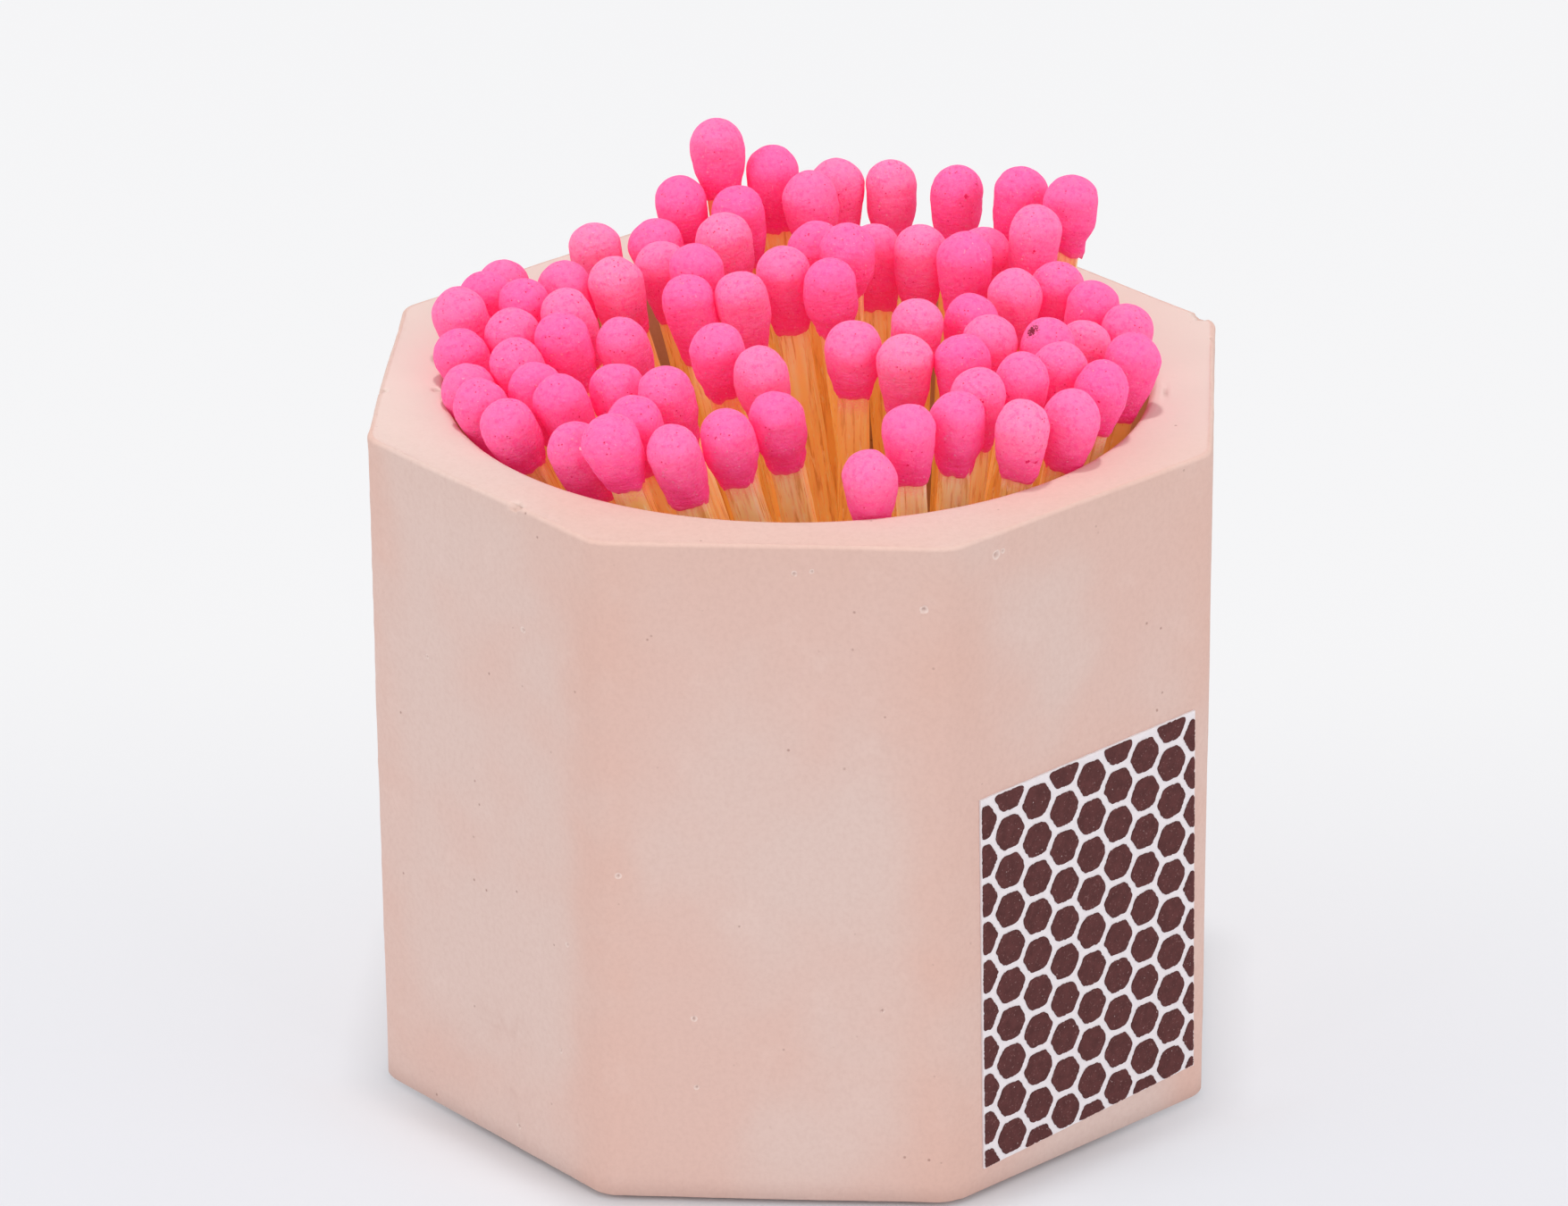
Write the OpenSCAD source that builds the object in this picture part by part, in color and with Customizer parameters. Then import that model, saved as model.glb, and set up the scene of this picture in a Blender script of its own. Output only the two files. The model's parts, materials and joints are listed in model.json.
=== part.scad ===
// Cast octagonal cup with a round bore, filled with safety matches, and a striking label on one flat

/* [Cup] */
// Width across two opposite flats
cup_w = 60; // [50:1:66]
// Height of the casting
cup_h = 51.4; // [43:0.2:61]
// Wall at the middle of a flat
wall_t = 4.7; // [4.2:0.1:4.7]
// Floor under the matches, at the least
floor_t = 8; // [8:0.25:9.5]
// How far an upright match stands above the rim, which lifts the floor of a taller cup
match_stand = 7.4; // [7.4:0.1:8.9]
// Width of the narrow flat that eases each upright edge
upright_ease = 1.5; // [1:0.1:1.8]
// Bevel round the foot
foot_bevel = 0.5; // [0.4:0.1:1.2]
// Bevel round the outside of the rim
rim_bevel = 0.3; // [0.2:0.1:0.5]
// Bevel round the mouth of the bore
mouth_bevel = 0.6; // [0.4:0.1:0.8]
// Bevel round the bottom of the bore
well_bevel = 1; // [0.6:0.1:1.2]

/* [Matches] */
// Length of a match
match_len = 50.8; // [43:0.2:55]
// Side of the square splint
stick_w = 2.3; // [2.1:0.05:2.3]
// Widest part of a head
head_d = 3.8; // [3.4:0.1:3.8]
// Length of a head
head_len = 5.8; // [5.2:0.1:6]
// Lower end of a head, across
head_end_d = 3; // [2.8:0.1:3.1]
// How far the splint stops short of the tip
head_cap = 1.5; // [1.3:0.1:1.7]
// Room beside a splint in its row at the floor
row_gap = 0.4; // [0.4:0.02:0.5]
// Room between two rows at the floor
rank_gap = 0.24; // [0.24:0.02:0.3]
// Least room between a splint and the bore
bore_gap = 0.05; // [0.04:0.01:0.06]

/* [Striking label] */
// Width of the label
label_w = 20.9; // [19:0.1:21.2]
// Height of the label at its middle
label_h = 29.1; // [27:0.1:30]
// How much shorter the right side is than the left
label_skew = 0.6; // [0:0.1:0.8]
// Height of the label middle above the table
label_mid_h = 17.2; // [16.8:0.1:18]
// Label middle to the right of the middle of the flat
label_mid_x = 0.75; // [0.4:0.05:0.8]
// Turn of the label
label_turn = 1; // [0:0.1:1.2]
// Paper thickness
paper_t = 0.18; // [0.14:0.01:0.22]
// Thickness of a printed patch
patch_t = 0.08; // [0.06:0.01:0.1]
// Width of a patch between its flat sides
patch_w = 2.54; // [2.4:0.01:2.6]
// White line between two patches
patch_gap = 0.5; // [0.45:0.01:0.55]
// Bare edge round the print
print_edge = 0.1; // [0.08:0.01:0.2]

/* [Hidden] */
half_turn = 180;
octagon = 8;
hexagon = 6;
edge_turn = half_turn / octagon;
flat_turn = 2 * edge_turn;
fine = 96;
half = 1 / 2;
bore_r = cup_w / 2 - wall_t;
floor_top = max(floor_t, cup_h - match_len + match_stand);
corner_reach = cup_w / 2 / cos(edge_turn) - upright_ease / 2 * tan(edge_turn);
cut_past = 1;

head_r = head_d / 2;
head_end_r = head_end_d / 2;

// Splints or heads that would lie side by side across the full bundle, whichever is wider
bundle_splint_count = 22;
bundle_head_count = 13;
bundle_r = max(bundle_splint_count * stick_w, bundle_head_count * head_d) / 2;
// In a wider bore each match stands further out by its share of the extra room
extra_room = max(bore_r - bundle_r, 0);

// Rows from the back of the cup to the front, each from left to right.
// A match gives where its head stands as two shares of the bundle radius,
// rightward and backward, then a share of the match length: up to ride_share it
// is that much longer or shorter, and above that its foot stands up off the floor.
match_shares = [
  [[-0.29, 0.89, 0.08], [-0.13, 0.93, 0.03], [0.06, 0.93, 0.01], [0.22, 0.92, 0.01], [0.42, 0.83, 0.02]],
  [[-0.39, 0.79, 0.02], [-0.22, 0.74, 0.01], [-0.01, 0.79, 0.02], [0.61, 0.71, 0.05]],
  [[-0.63, 0.62, -0.01], [-0.45, 0.62, -0.01], [-0.25, 0.58, 0], [0.02, 0.53, -0.01],
   [0.19, 0.55, -0.02], [0.51, 0.54, -0.02], [0.76, 0.58, 0.06]],
  [[-0.87, 0.41, 0.02], [-0.42, 0.45, -0.01], [0.12, 0.40, 0.01],
   [0.33, 0.45, 0], [0.46, 0.36, 0.01], [0.66, 0.43, 0.04]],
  [[-0.91, 0.26, 0.01], [-0.69, 0.31, 0], [-0.54, 0.27, 0.01], [-0.31, 0.31, 0.01], [-0.06, 0.30, 0],
   [0.08, 0.21, 0], [0.61, 0.20, -0.01], [0.73, 0.30, -0.02], [0.83, 0.18, -0.02]],
  [[-0.97, 0.11, 0.03], [-0.79, 0.16, 0.02], [-0.66, 0.08, 0.02], [-0.32, 0.14, 0],
   [-0.17, 0.15, 0], [0.49, 0.02, -0.01], [0.81, -0.03, -0.02], [0.93, 0.07, -0.02]],
  [[-0.95, -0.05, 0], [-0.81, 0.01, 0.01], [-0.66, -0.08, 0.02], [-0.49, -0.06, 0],
   [0.34, -0.08, 0], [0.55, -0.15, 0], [0.71, -0.15, 0], [0.95, -0.18, 0]],
  [[-0.91, -0.22, -0.01], [-0.78, -0.17, 0.01], [-0.21, -0.24, 0], [0.17, -0.24, 0],
   [0.32, -0.30, 0], [0.48, -0.29, 0], [0.75, -0.30, 0]],
  [[-0.86, -0.37, 0.01], [-0.71, -0.31, 0.01], [-0.48, -0.35, 0],
   [-0.08, -0.37, 0], [0.65, -0.42, 0.01], [0.87, -0.39, 0]],
  [[-0.77, -0.51, 0], [-0.63, -0.44, 0.01], [-0.34, -0.45, 0],
   [-0.02, -0.62, 0], [0.53, -0.52, 0], [0.79, -0.56, -0.01]],
  [[-0.57, -0.66, -0.01], [-0.41, -0.63, 0.01], [-0.15, -0.71, 0], [0.48, -0.67, 0], [0.66, -0.70, 0]],
  [[-0.46, -0.80, 0.02], [-0.29, -0.80, 0], [0.25, -0.91, -0.02], [0.35, -0.77, 0]]
];

// Shift of each row at the floor, in shares of the spacing within a row
row_shift_shares = [-0.55, -0.35, 0, 0, 0, -0.35, -0.35, -0.35, 0, 0.2, 0.75, 0.45];
// Middle of the feet, in shares of the bundle radius
feet_mid_shares = [0.2, 0.25];
ride_share = 0.02;

row_count = len(match_shares);
stick_pitch = stick_w + row_gap;
rank_pitch = stick_w + rank_gap;

// Every match as its row, its place in the row and its three shares
matches = [for (r = [0 : row_count - 1]) for (i = [0 : len(match_shares[r]) - 1])
  [r, i, match_shares[r][i]]];

function rise(k) = max(matches[k][2][2] - ride_share, 0) * match_len;
function length_of(k) = match_len * (1 + min(max(matches[k][2][2], -ride_share), ride_share));
function mid_place(r) = (len(match_shares[r]) - 1) / 2;
function foot(k) = [
  feet_mid_shares[0] * bundle_r + matches[k][2][0] * extra_room
    + (row_shift_shares[matches[k][0]] + matches[k][1] - mid_place(matches[k][0])) * stick_pitch,
  feet_mid_shares[1] * bundle_r + matches[k][2][1] * extra_room
    + ((row_count - 1) / 2 - matches[k][0]) * rank_pitch,
  floor_top + rise(k)];
// Middle of the round crown of a head, one match length less the crown radius from its foot
function crown(k) =
  let (f = foot(k), reach = length_of(k) - head_r)
  let (x = matches[k][2][0] * (bundle_r + extra_room), y = matches[k][2][1] * (bundle_r + extra_room))
  [x, y, f[2] + sqrt(pow(reach, 2) - pow(x - f[0], 2) - pow(y - f[1], 2))];
function unit(v) = v / norm(v);
function lean(k) = unit(crown(k) - foot(k));
function face(k) = unit(cross(lean(k), [1, 0, 0]));
function side(k) = cross(face(k), lean(k));
// A leaning square end stands on its lowest corner,
// so the match slides up along itself until that corner is on the floor
function slide_up(k) = stick_w / 2 * (abs(side(k)[2]) + abs(face(k)[2])) / lean(k)[2];
function stance(k) = let (x = side(k), y = face(k), z = lean(k), p = foot(k) + lean(k) * slide_up(k))
  [[x[0], y[0], z[0], p[0]], [x[1], y[1], z[1], p[1]], [x[2], y[2], z[2], p[2]], [0, 0, 0, 1]];

// A bore narrower than the full bundle takes the matches that clear it at the floor and under the mouth
function off_axis(p) = norm([p[0], p[1]]);
function at_mouth(k) = foot(k) + lean(k) * (min(cup_h - mouth_bevel, crown(k)[2]) - foot(k)[2]) / lean(k)[2];
function fits(k) = let (corner_r = norm([stick_w, stick_w]) / 2 + bore_gap)
  off_axis(foot(k)) + corner_r + well_bevel < bore_r && off_axis(at_mouth(k)) + corner_r < bore_r;
held = [for (k = [0 : len(matches) - 1]) if (fits(k)) k];

// Matches spread evenly over the bundle that stand as pairs of parts of their own.
// The others are grouped by half of the bundle.
own_count = min(25, len(held));
own_places = [for (i = [0 : own_count - 1]) floor(i * len(held) / own_count)];
own = [for (i = own_places) held[i]];
grouped = [for (i = [0 : len(held) - 1]) if (len(search(i, own_places)) == 0) held[i]];
back = [for (k = grouped) if (matches[k][0] < row_count / 2) k];
front = [for (k = grouped) if (matches[k][0] >= row_count / 2) k];
tens = 10;
function tag(n) = str(floor(n / tens), n % tens);

patch_step = patch_w + patch_gap;
patch_column = patch_step * cos(half_turn / hexagon);
patch_r = patch_w / 2 / cos(half_turn / hexagon);
patch_columns = ceil(label_w / patch_column / 2) + 1;
patch_rows = ceil(label_h / patch_step / 2) + 1;
// Where the honeycomb starts, in shares of its two steps from the label middle
print_shift_shares = [0.064, 0.175];

module octagonal(across, tall, turn = edge_turn) {
  rotate([0, 0, turn]) cylinder(h = tall, r = across / 2 / cos(edge_turn), $fn = octagon);
}

// Square bars turned on edge along the eight edges of an octagon, to bevel them
module edge_bars(across, bevel, turn) {
  bar = bevel * sqrt(2);
  for (i = [0 : octagon - 1])
    rotate([0, 0, turn + i * flat_turn]) translate([0, -across / 2, 0])
      rotate([flat_turn, 0, 0]) cube([cup_w, bar, bar], center = true);
}

module edge_bevels(bevel, z) {
  translate([0, 0, z]) {
    edge_bars(cup_w, bevel, 0);
    edge_bars(2 * corner_reach, bevel, edge_turn);
  }
}

module cup() {
  color([0.86, 0.73, 0.69])
    difference() {
      intersection() {
        octagonal(cup_w, cup_h);
        octagonal(2 * corner_reach, cup_h, 0);
      }
      edge_bevels(foot_bevel, 0);
      edge_bevels(rim_bevel, cup_h);
      translate([0, 0, floor_top])
        cylinder(h = well_bevel, r1 = bore_r - well_bevel, r2 = bore_r, $fn = fine);
      translate([0, 0, floor_top + well_bevel]) cylinder(h = cup_h, r = bore_r, $fn = fine);
      translate([0, 0, cup_h - mouth_bevel])
        cylinder(h = mouth_bevel + cut_past, r1 = bore_r, r2 = bore_r + mouth_bevel + cut_past, $fn = fine);
    }
}

// Turns the middle of the front flat to the flat that carries the label
module on_label_flat(rise_off) {
  rotate([0, 0, flat_turn])
    translate([label_mid_x, -cup_w / 2 - rise_off, label_mid_h])
      rotate([0, -label_turn, 0])
        children();
}

module upright_sheet(thick) {
  rotate([half_turn / 2, 0, 0]) translate([0, 0, -thick]) linear_extrude(thick) children();
}

module label_outline(inset) {
  left = -label_w / 2 + inset;
  right = label_w / 2 - inset;
  top = label_h / 2 - inset;
  polygon([[left, top], [right, top],
    [right, -top + label_skew / 2], [left, -top - label_skew / 2]]);
}

module striker_paper() {
  color([0.89, 0.88, 0.91]) on_label_flat(paper_t) upright_sheet(paper_t) label_outline(0);
}

module striker_patches() {
  color([0.38, 0.21, 0.2])
    on_label_flat(paper_t + patch_t) upright_sheet(patch_t)
      intersection() {
        label_outline(print_edge);
        for (c = [-patch_columns : patch_columns], r = [-patch_rows : patch_rows])
          translate([(c + print_shift_shares[0]) * patch_column,
              (r + print_shift_shares[1] + abs(c % 2) * half) * patch_step])
            circle(r = patch_r, $fn = hexagon);
      }
}

module splint(k) {
  multmatrix(stance(k))
    translate([-stick_w / 2, -stick_w / 2, 0]) cube([stick_w, stick_w, length_of(k) - head_cap]);
}

module head(k) {
  tip = length_of(k);
  multmatrix(stance(k))
    difference() {
      union() {
        translate([0, 0, tip - head_r]) sphere(r = head_r, $fn = fine);
        translate([0, 0, tip - head_len])
          cylinder(h = head_len - head_r, r1 = head_end_r, r2 = head_r, $fn = fine);
      }
      translate([-stick_w / 2, -stick_w / 2, tip - head_len - cut_past])
        cube([stick_w, stick_w, head_len - head_cap + cut_past]);
    }
}

module splints(list) { color([0.88, 0.65, 0.38]) for (k = list) splint(k); }

module heads(list) { color([0.98, 0.32, 0.58]) for (k = list) head(k); }

cup();
striker_paper();
striker_patches();
splints(back);  // splints_back
heads(back);  // heads_back
splints(front);  // splints_front
heads(front);  // heads_front
for (n = [1 : len(own)]) splints([own[n - 1]]);
for (n = [1 : len(own)]) heads([own[n - 1]]);
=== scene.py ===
"""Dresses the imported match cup: cast concrete, wooden splints, dipped heads and the striking label."""

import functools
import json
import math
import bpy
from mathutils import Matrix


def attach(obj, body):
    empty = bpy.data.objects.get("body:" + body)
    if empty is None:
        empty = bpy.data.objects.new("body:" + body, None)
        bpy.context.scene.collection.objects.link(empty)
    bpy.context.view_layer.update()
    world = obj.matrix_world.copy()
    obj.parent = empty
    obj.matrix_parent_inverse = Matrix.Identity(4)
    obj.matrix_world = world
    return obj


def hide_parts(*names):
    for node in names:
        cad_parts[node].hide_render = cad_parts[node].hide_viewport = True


bl_info = {
    "name": "Match Cup",
    "version": (1, 0, 0),
    "blender": (4, 5, 0),
    "location": "View3D > Sidebar > Match Cup",
    "description": "Cast octagonal cup full of matches, with a striking label on one flat",
    "category": "Object",
}

import bpy
import numpy as np
from bpy.props import FloatProperty, FloatVectorProperty, IntProperty, PointerProperty
from mathutils import Matrix, Vector

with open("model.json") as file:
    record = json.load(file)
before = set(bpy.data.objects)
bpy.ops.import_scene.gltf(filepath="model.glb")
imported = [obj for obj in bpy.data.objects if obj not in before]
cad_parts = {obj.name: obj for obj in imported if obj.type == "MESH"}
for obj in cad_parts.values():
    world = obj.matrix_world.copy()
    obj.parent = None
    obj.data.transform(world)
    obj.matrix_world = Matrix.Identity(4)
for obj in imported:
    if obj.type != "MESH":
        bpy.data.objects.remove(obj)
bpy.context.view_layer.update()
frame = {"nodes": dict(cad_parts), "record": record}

MM = 0.001
FULL_TURN = 2 * math.pi
FLATS = 8
FLAT_TURN = FULL_TURN / FLATS
# Farther than any place of the cup, in mm
FAR = 1e6


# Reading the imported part


def nodes_named(word):
    """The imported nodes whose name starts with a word, each with its body, in order."""
    bodies = frame["record"]["behaviour"]["bodies"]
    return sorted((n, b) for b, members in bodies.items() for n in members if n.startswith(word))


def node_triangles(node):
    """Corner points of a node, each place once, and its triangles as rows of three of them."""
    mesh = frame["nodes"][node].data
    places = np.empty(len(mesh.vertices) * 3, np.float32)
    mesh.vertices.foreach_get("co", places)
    points, same = np.unique(np.round(places.reshape(-1, 3) / MM, 4), axis=0, return_inverse=True)
    mesh.calc_loop_triangles()
    corners = np.empty(len(mesh.loop_triangles) * 3, np.int32)
    mesh.loop_triangles.foreach_get("vertices", corners)
    return points, same.ravel()[corners].reshape(-1, 3)


def loose_parts(node):
    """Corner points, in millimetres, of each separate solid of a node. Every corner starts with its own
    number, and the lowest number spreads across the triangles until each solid has one."""
    points, triangles = node_triangles(node)
    label = np.arange(len(points))
    settled = False
    while not settled:
        lower = label.copy()
        np.minimum.at(lower, triangles.ravel(), np.repeat(label[triangles].min(1), 3))
        settled = bool((lower == label).all())
        label = lower
    return [points[label == n] for n in np.unique(label)]


def unit(vectors):
    """Vectors at length one."""
    return vectors / np.linalg.norm(vectors, axis=-1, keepdims=True)


@functools.cache
def standing_splints(node):
    """Foot, upward axis, sideways and facing directions and length of each splint in a node, as arrays.
    The axis is the direction in which a splint's corners spread most."""
    parts = loose_parts(node)
    middle = np.array([p.mean(0) for p in parts])
    along = np.array([np.linalg.eigh(np.cov((p - m).T))[1][:, 2] for p, m in zip(parts, middle)])
    along *= np.sign(along[:, 2:3])
    length = np.array([np.ptp((p - m) @ a) for p, m, a in zip(parts, middle, along)])
    facing = unit(np.cross(along, [1.0, 0.0, 0.0]))
    return {
        "foot": middle - along * length[:, None] / 2,
        "along": along,
        "side": np.cross(facing, along),
        "facing": facing,
        "length": length,
    }


# Shared shapes


def waves(places, size, seed, count=14):
    """Smooth unevenness of about -1 to 1: the sum of sines that run through space in random directions,
    each about one size long, over the root of half their number."""
    rng = np.random.default_rng(seed)
    way = unit(rng.normal(size=(count, 3))) * (FULL_TURN / size * rng.uniform(0.7, 1.5, count))[:, None]
    start = rng.uniform(0, FULL_TURN, count)
    return np.sin(places @ way.T + start).sum(-1) / math.sqrt(count / 2)


def layered(places, kinds, seed=0):
    """Waves of several kinds on top of each other, each with its depth, size and step of the seed."""
    return sum(deep * waves(places, size, seed + step) for deep, size, step in kinds)


def smooth(low, high, values):
    """0 below low and 1 above high, with an even start and end: 3 t squared less 2 t cubed."""
    t = np.clip((values - low) / (high - low), 0, 1)
    return t * t * (3 - 2 * t)


def joined(x, y, z):
    """Places from three arrays that fit together."""
    return np.stack(np.broadcast_arrays(x, y, z), -1)


def round_turn(columns):
    """Even turns round a tube, as the last of three axes."""
    return (np.arange(columns) * FULL_TURN / columns)[None, None]


def square_round(turn, corner):
    """Distance from the middle of a square of half width one to its side, by direction: one over the p-norm
    of the cosine and sine, where a higher p gives a sharper corner."""
    return (np.abs(np.cos(turn)) ** corner + np.abs(np.sin(turn)) ** corner) ** (-1 / corner)


def closed_tubes(name, rings, attributes, smooth_faces=True):
    """Object of closed tubes. rings is an array of tubes, rows, columns and places in millimetres; each row
    runs anticlockwise seen from the last row, and both end rows close in a fan round their middle."""
    tubes, rows, columns = rings.shape[:3]
    body = rings.reshape(tubes, rows * columns, -1)
    ends = np.stack([rings[:, 0].mean(1), rings[:, -1].mean(1)], 1)
    points = np.concatenate([body, ends], 1)
    r = np.arange(rows - 1)[:, None] * columns
    c = np.arange(columns)[None]
    n = (c + 1) % columns
    quads = np.stack([r + c, r + n, r + columns + n, r + columns + c], -1).reshape(-1, 4)
    c, n = c[0], n[0]
    low_end = np.stack([np.full(columns, rows * columns), n, c], -1)
    last = (rows - 1) * columns
    high_end = np.stack([np.full(columns, rows * columns + 1), last + c, last + n], -1)
    triangles = np.concatenate([low_end, high_end])
    each = np.arange(tubes)[:, None, None] * (rows * columns + 2)
    quads = (quads[None] + each).reshape(-1)
    triangles = (triangles[None] + each).reshape(-1)
    mesh = bpy.data.meshes.new(name)
    loops = np.concatenate([quads, triangles])
    totals = np.concatenate([np.full(len(quads) // 4, 4), np.full(len(triangles) // 3, 3)])
    mesh.vertices.add(points.shape[0] * points.shape[1])
    mesh.vertices.foreach_set("co", (points.reshape(-1, 3) * MM).astype(np.float32).ravel())
    mesh.loops.add(len(loops))
    mesh.loops.foreach_set("vertex_index", loops.astype(np.int32))
    mesh.polygons.add(len(totals))
    starts = np.concatenate([[0], np.cumsum(totals)[:-1]])
    mesh.polygons.foreach_set("loop_start", starts.astype(np.int32))
    mesh.polygons.foreach_set("use_smooth", np.full(len(totals), smooth_faces))
    mesh.update(calc_edges=True)
    for key, values in attributes.items():
        values = np.broadcast_to(values, rings.shape[:3] + values.shape[3:])
        flat = values.reshape((tubes, rows * columns) + values.shape[3:])
        tips = np.stack([values[:, 0].mean(1), values[:, -1].mean(1)], 1)
        whole = np.concatenate([flat, tips], 1).astype(np.float32)
        vector = values.ndim == 4
        layer = mesh.attributes.new(key, "FLOAT_VECTOR" if vector else "FLOAT", "POINT")
        layer.data.foreach_set("vector" if vector else "value", whole.ravel())
    mesh.validate()
    piece = bpy.data.objects.new(name, mesh)
    bpy.context.scene.collection.objects.link(piece)
    return piece


def dress(piece, material, body, slot, *nodes):
    """Gives a piece its material and body, and lets it stand for its nodes; the slot is not used."""
    piece.data.materials.clear()
    piece.data.materials.append(material)
    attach(piece, body)
    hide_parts(*nodes)


# Materials


class Nodes:
    """A node tree and short ways to add to it."""

    def __init__(self, tree):
        self.tree = tree

    def add(self, kind, inputs=None, **settings):
        """A node of a kind, with values or links for its named or numbered inputs."""
        made = self.tree.nodes.new(kind)
        for key, value in settings.items():
            setattr(made, key, value)
        for key, value in (inputs or {}).items():
            self.put(made.inputs[key], value)
        return made

    def put(self, socket, value):
        """Sets a socket to a value, or links it to another node's output."""
        if isinstance(value, bpy.types.NodeSocket):
            self.tree.links.new(value, socket)
        else:
            socket.default_value = value

    def arithmetic(self, kind, first, second):
        """Two values put together by one kind of arithmetic."""
        return self.add("ShaderNodeMath", {0: first, 1: second}, operation=kind).outputs[0]

    def times(self, first, second):
        """The product of two values."""
        return self.arithmetic("MULTIPLY", first, second)

    def plus(self, first, second):
        """The sum of two values."""
        return self.arithmetic("ADD", first, second)

    def less(self, first, second):
        """The first value less the second."""
        return self.arithmetic("SUBTRACT", first, second)

    def larger(self, first, second):
        """The larger of two values."""
        return self.arithmetic("MAXIMUM", first, second)

    def vector(self, kind, first, second, wanted="Vector"):
        """Two vectors put together by one kind of arithmetic."""
        return self.add("ShaderNodeVectorMath", {0: first, 1: second}, operation=kind).outputs[wanted]


class Finish(Nodes):
    """A material with a pattern in its own coordinates."""

    def __init__(self, name):
        self.material = bpy.data.materials.new(name)
        self.material.use_nodes = True
        super().__init__(self.material.node_tree)
        self.shader = self.tree.nodes["Principled BSDF"]
        self.object_place = self.add("ShaderNodeTexCoord").outputs["Object"]

    def surface(self, values):
        """Values or links for sockets of the material's shader."""
        for socket, value in values.items():
            self.put(self.shader.inputs[socket], value)

    def noise(self, place, scale, detail=3.0, rough=0.5):
        """Cloudy pattern from 0 to 1 at so many lumps a unit."""
        inputs = {"Vector": place, "Scale": scale, "Detail": detail, "Roughness": rough}
        return self.add("ShaderNodeTexNoise", inputs).outputs["Fac"]

    def moved(self, place, step):
        """The same places some way on, so that a second pattern doesn't follow the first."""
        return self.vector("ADD", place, (step, step, step))

    def pressed(self, place, across, along):
        """Places pressed together across or along, so that a pattern is drawn out the other way."""
        return self.vector("MULTIPLY", place, (across, across, along))

    def spots(self, place, scale):
        """Distance from the nearest of many scattered points, in lumps."""
        return self.add("ShaderNodeTexVoronoi", {"Vector": place, "Scale": scale}).outputs["Distance"]

    def spread(self, value, low, high, to_low=0.0, to_high=1.0):
        """Stretches low to high over to_low to to_high, smooth at both ends."""
        ends = {"From Min": low, "From Max": high, "To Min": to_low, "To Max": to_high}
        made = self.add("ShaderNodeMapRange", {"Value": value, **ends}, interpolation_type="SMOOTHSTEP")
        return made.outputs["Result"]

    def blend(self, share, first, second):
        """First colour towards the second by a share."""
        made = self.add("ShaderNodeMix", {"Factor": share, 6: first, 7: second}, data_type="RGBA")
        return made.outputs[2]

    def mark(self, place, spot, radius, edge, pattern, strength=1.0):
        """Share of a round mark by the distance from its spot. Its edge gives where it ends, where it is
        full and how far the pattern moves both, in radii."""
        ends, fills, ragged = (share * radius * MM for share in edge)
        away = self.plus(self.vector("DISTANCE", place, spot, "Value"), self.times(pattern, ragged))
        return self.spread(away, ends, fills, 0.0, strength)

    def reading(self, key, vector=False):
        """The piece's own attribute of that name."""
        made = self.add("ShaderNodeAttribute", attribute_name=key)
        return made.outputs["Vector" if vector else "Fac"]

    def relief(self, height, strength, depth):
        """Fine bumps of a depth in metres."""
        made = self.add("ShaderNodeBump", {"Height": height, "Distance": depth, "Strength": strength})
        self.surface({"Normal": made.outputs["Normal"]})


def full(colour):
    """A colour with full opacity."""
    return (*colour, 1.0)


WHITE = (1.0, 1.0, 1.0)
# Colours of marks that are too small for a setting of their own
CONCRETE_MILK = (0.86, 0.69, 0.63, 1.0)
SAND_SHADE = (0.52, 0.31, 0.26, 1.0)
SMUDGED = (0.50, 0.27, 0.22, 1.0)
# Painted shade in the pinholes
PINHOLE_SHADE = (0.30, 0.15, 0.12, 1.0)
BUBBLE_EDGE = (0.92, 0.77, 0.71, 1.0)
# Painted shade inside the bubbles, chips and rim holes
PAINTED_HOLLOW_SHADE = (0.36, 0.19, 0.155, 1.0)
WOOD_PORE = (0.42, 0.18, 0.045, 1.0)
HEAD_GRAIN = (1.0, 0.50, 0.68, 1.0)
HEAD_SCRATCH = (1.0, 0.42, 0.60, 1.0)
# Painted shade in the heads' pores
HEAD_PORE_SHADE = (0.50, 0.008, 0.06, 1.0)
# A pit's colour is painted shade
HEAD_MARK = {
    "scorch": (0.045, 0.020, 0.022, 1.0), "pit_shade": (0.60, 0.02, 0.10, 1.0), "crumb": (1.0, 0.80, 0.86, 1.0),
}
PRINT_GRIT = (0.30, 0.16, 0.15, 1.0)
# Pale glass grains together with their painted glints
PRINT_GLASS_GLINT = (0.62, 0.47, 0.45, 1.0)


# Where the pale ring round a bubble ends and is full and how ragged it is, in radii of the bubble, and the
# same for a mark on a head
RING_EDGE = (1.75, 1.35, 0.7)
MARK_EDGE = (2.75, 2.4, 3.6)
RING_STRENGTH = 0.6


def with_bubble_rings(made, body, look):
    """The concrete's colour with a pale ring round each bubble."""
    ring_noise = made.noise(made.object_place, 4200, 2.0)
    for flat, along, high, radius, _ in BUBBLES:
        turn = flat * FLAT_TURN - FULL_TURN / 4
        across, out = along * MM, look.width / 2
        cos, sin = math.cos(turn), math.sin(turn)
        spot = (out * cos - across * sin, out * sin + across * cos, high * MM)
        ring = made.mark(made.object_place, spot, radius, RING_EDGE, ring_noise, RING_STRENGTH)
        body = made.blend(ring, body, BUBBLE_EDGE)
    return body


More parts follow.
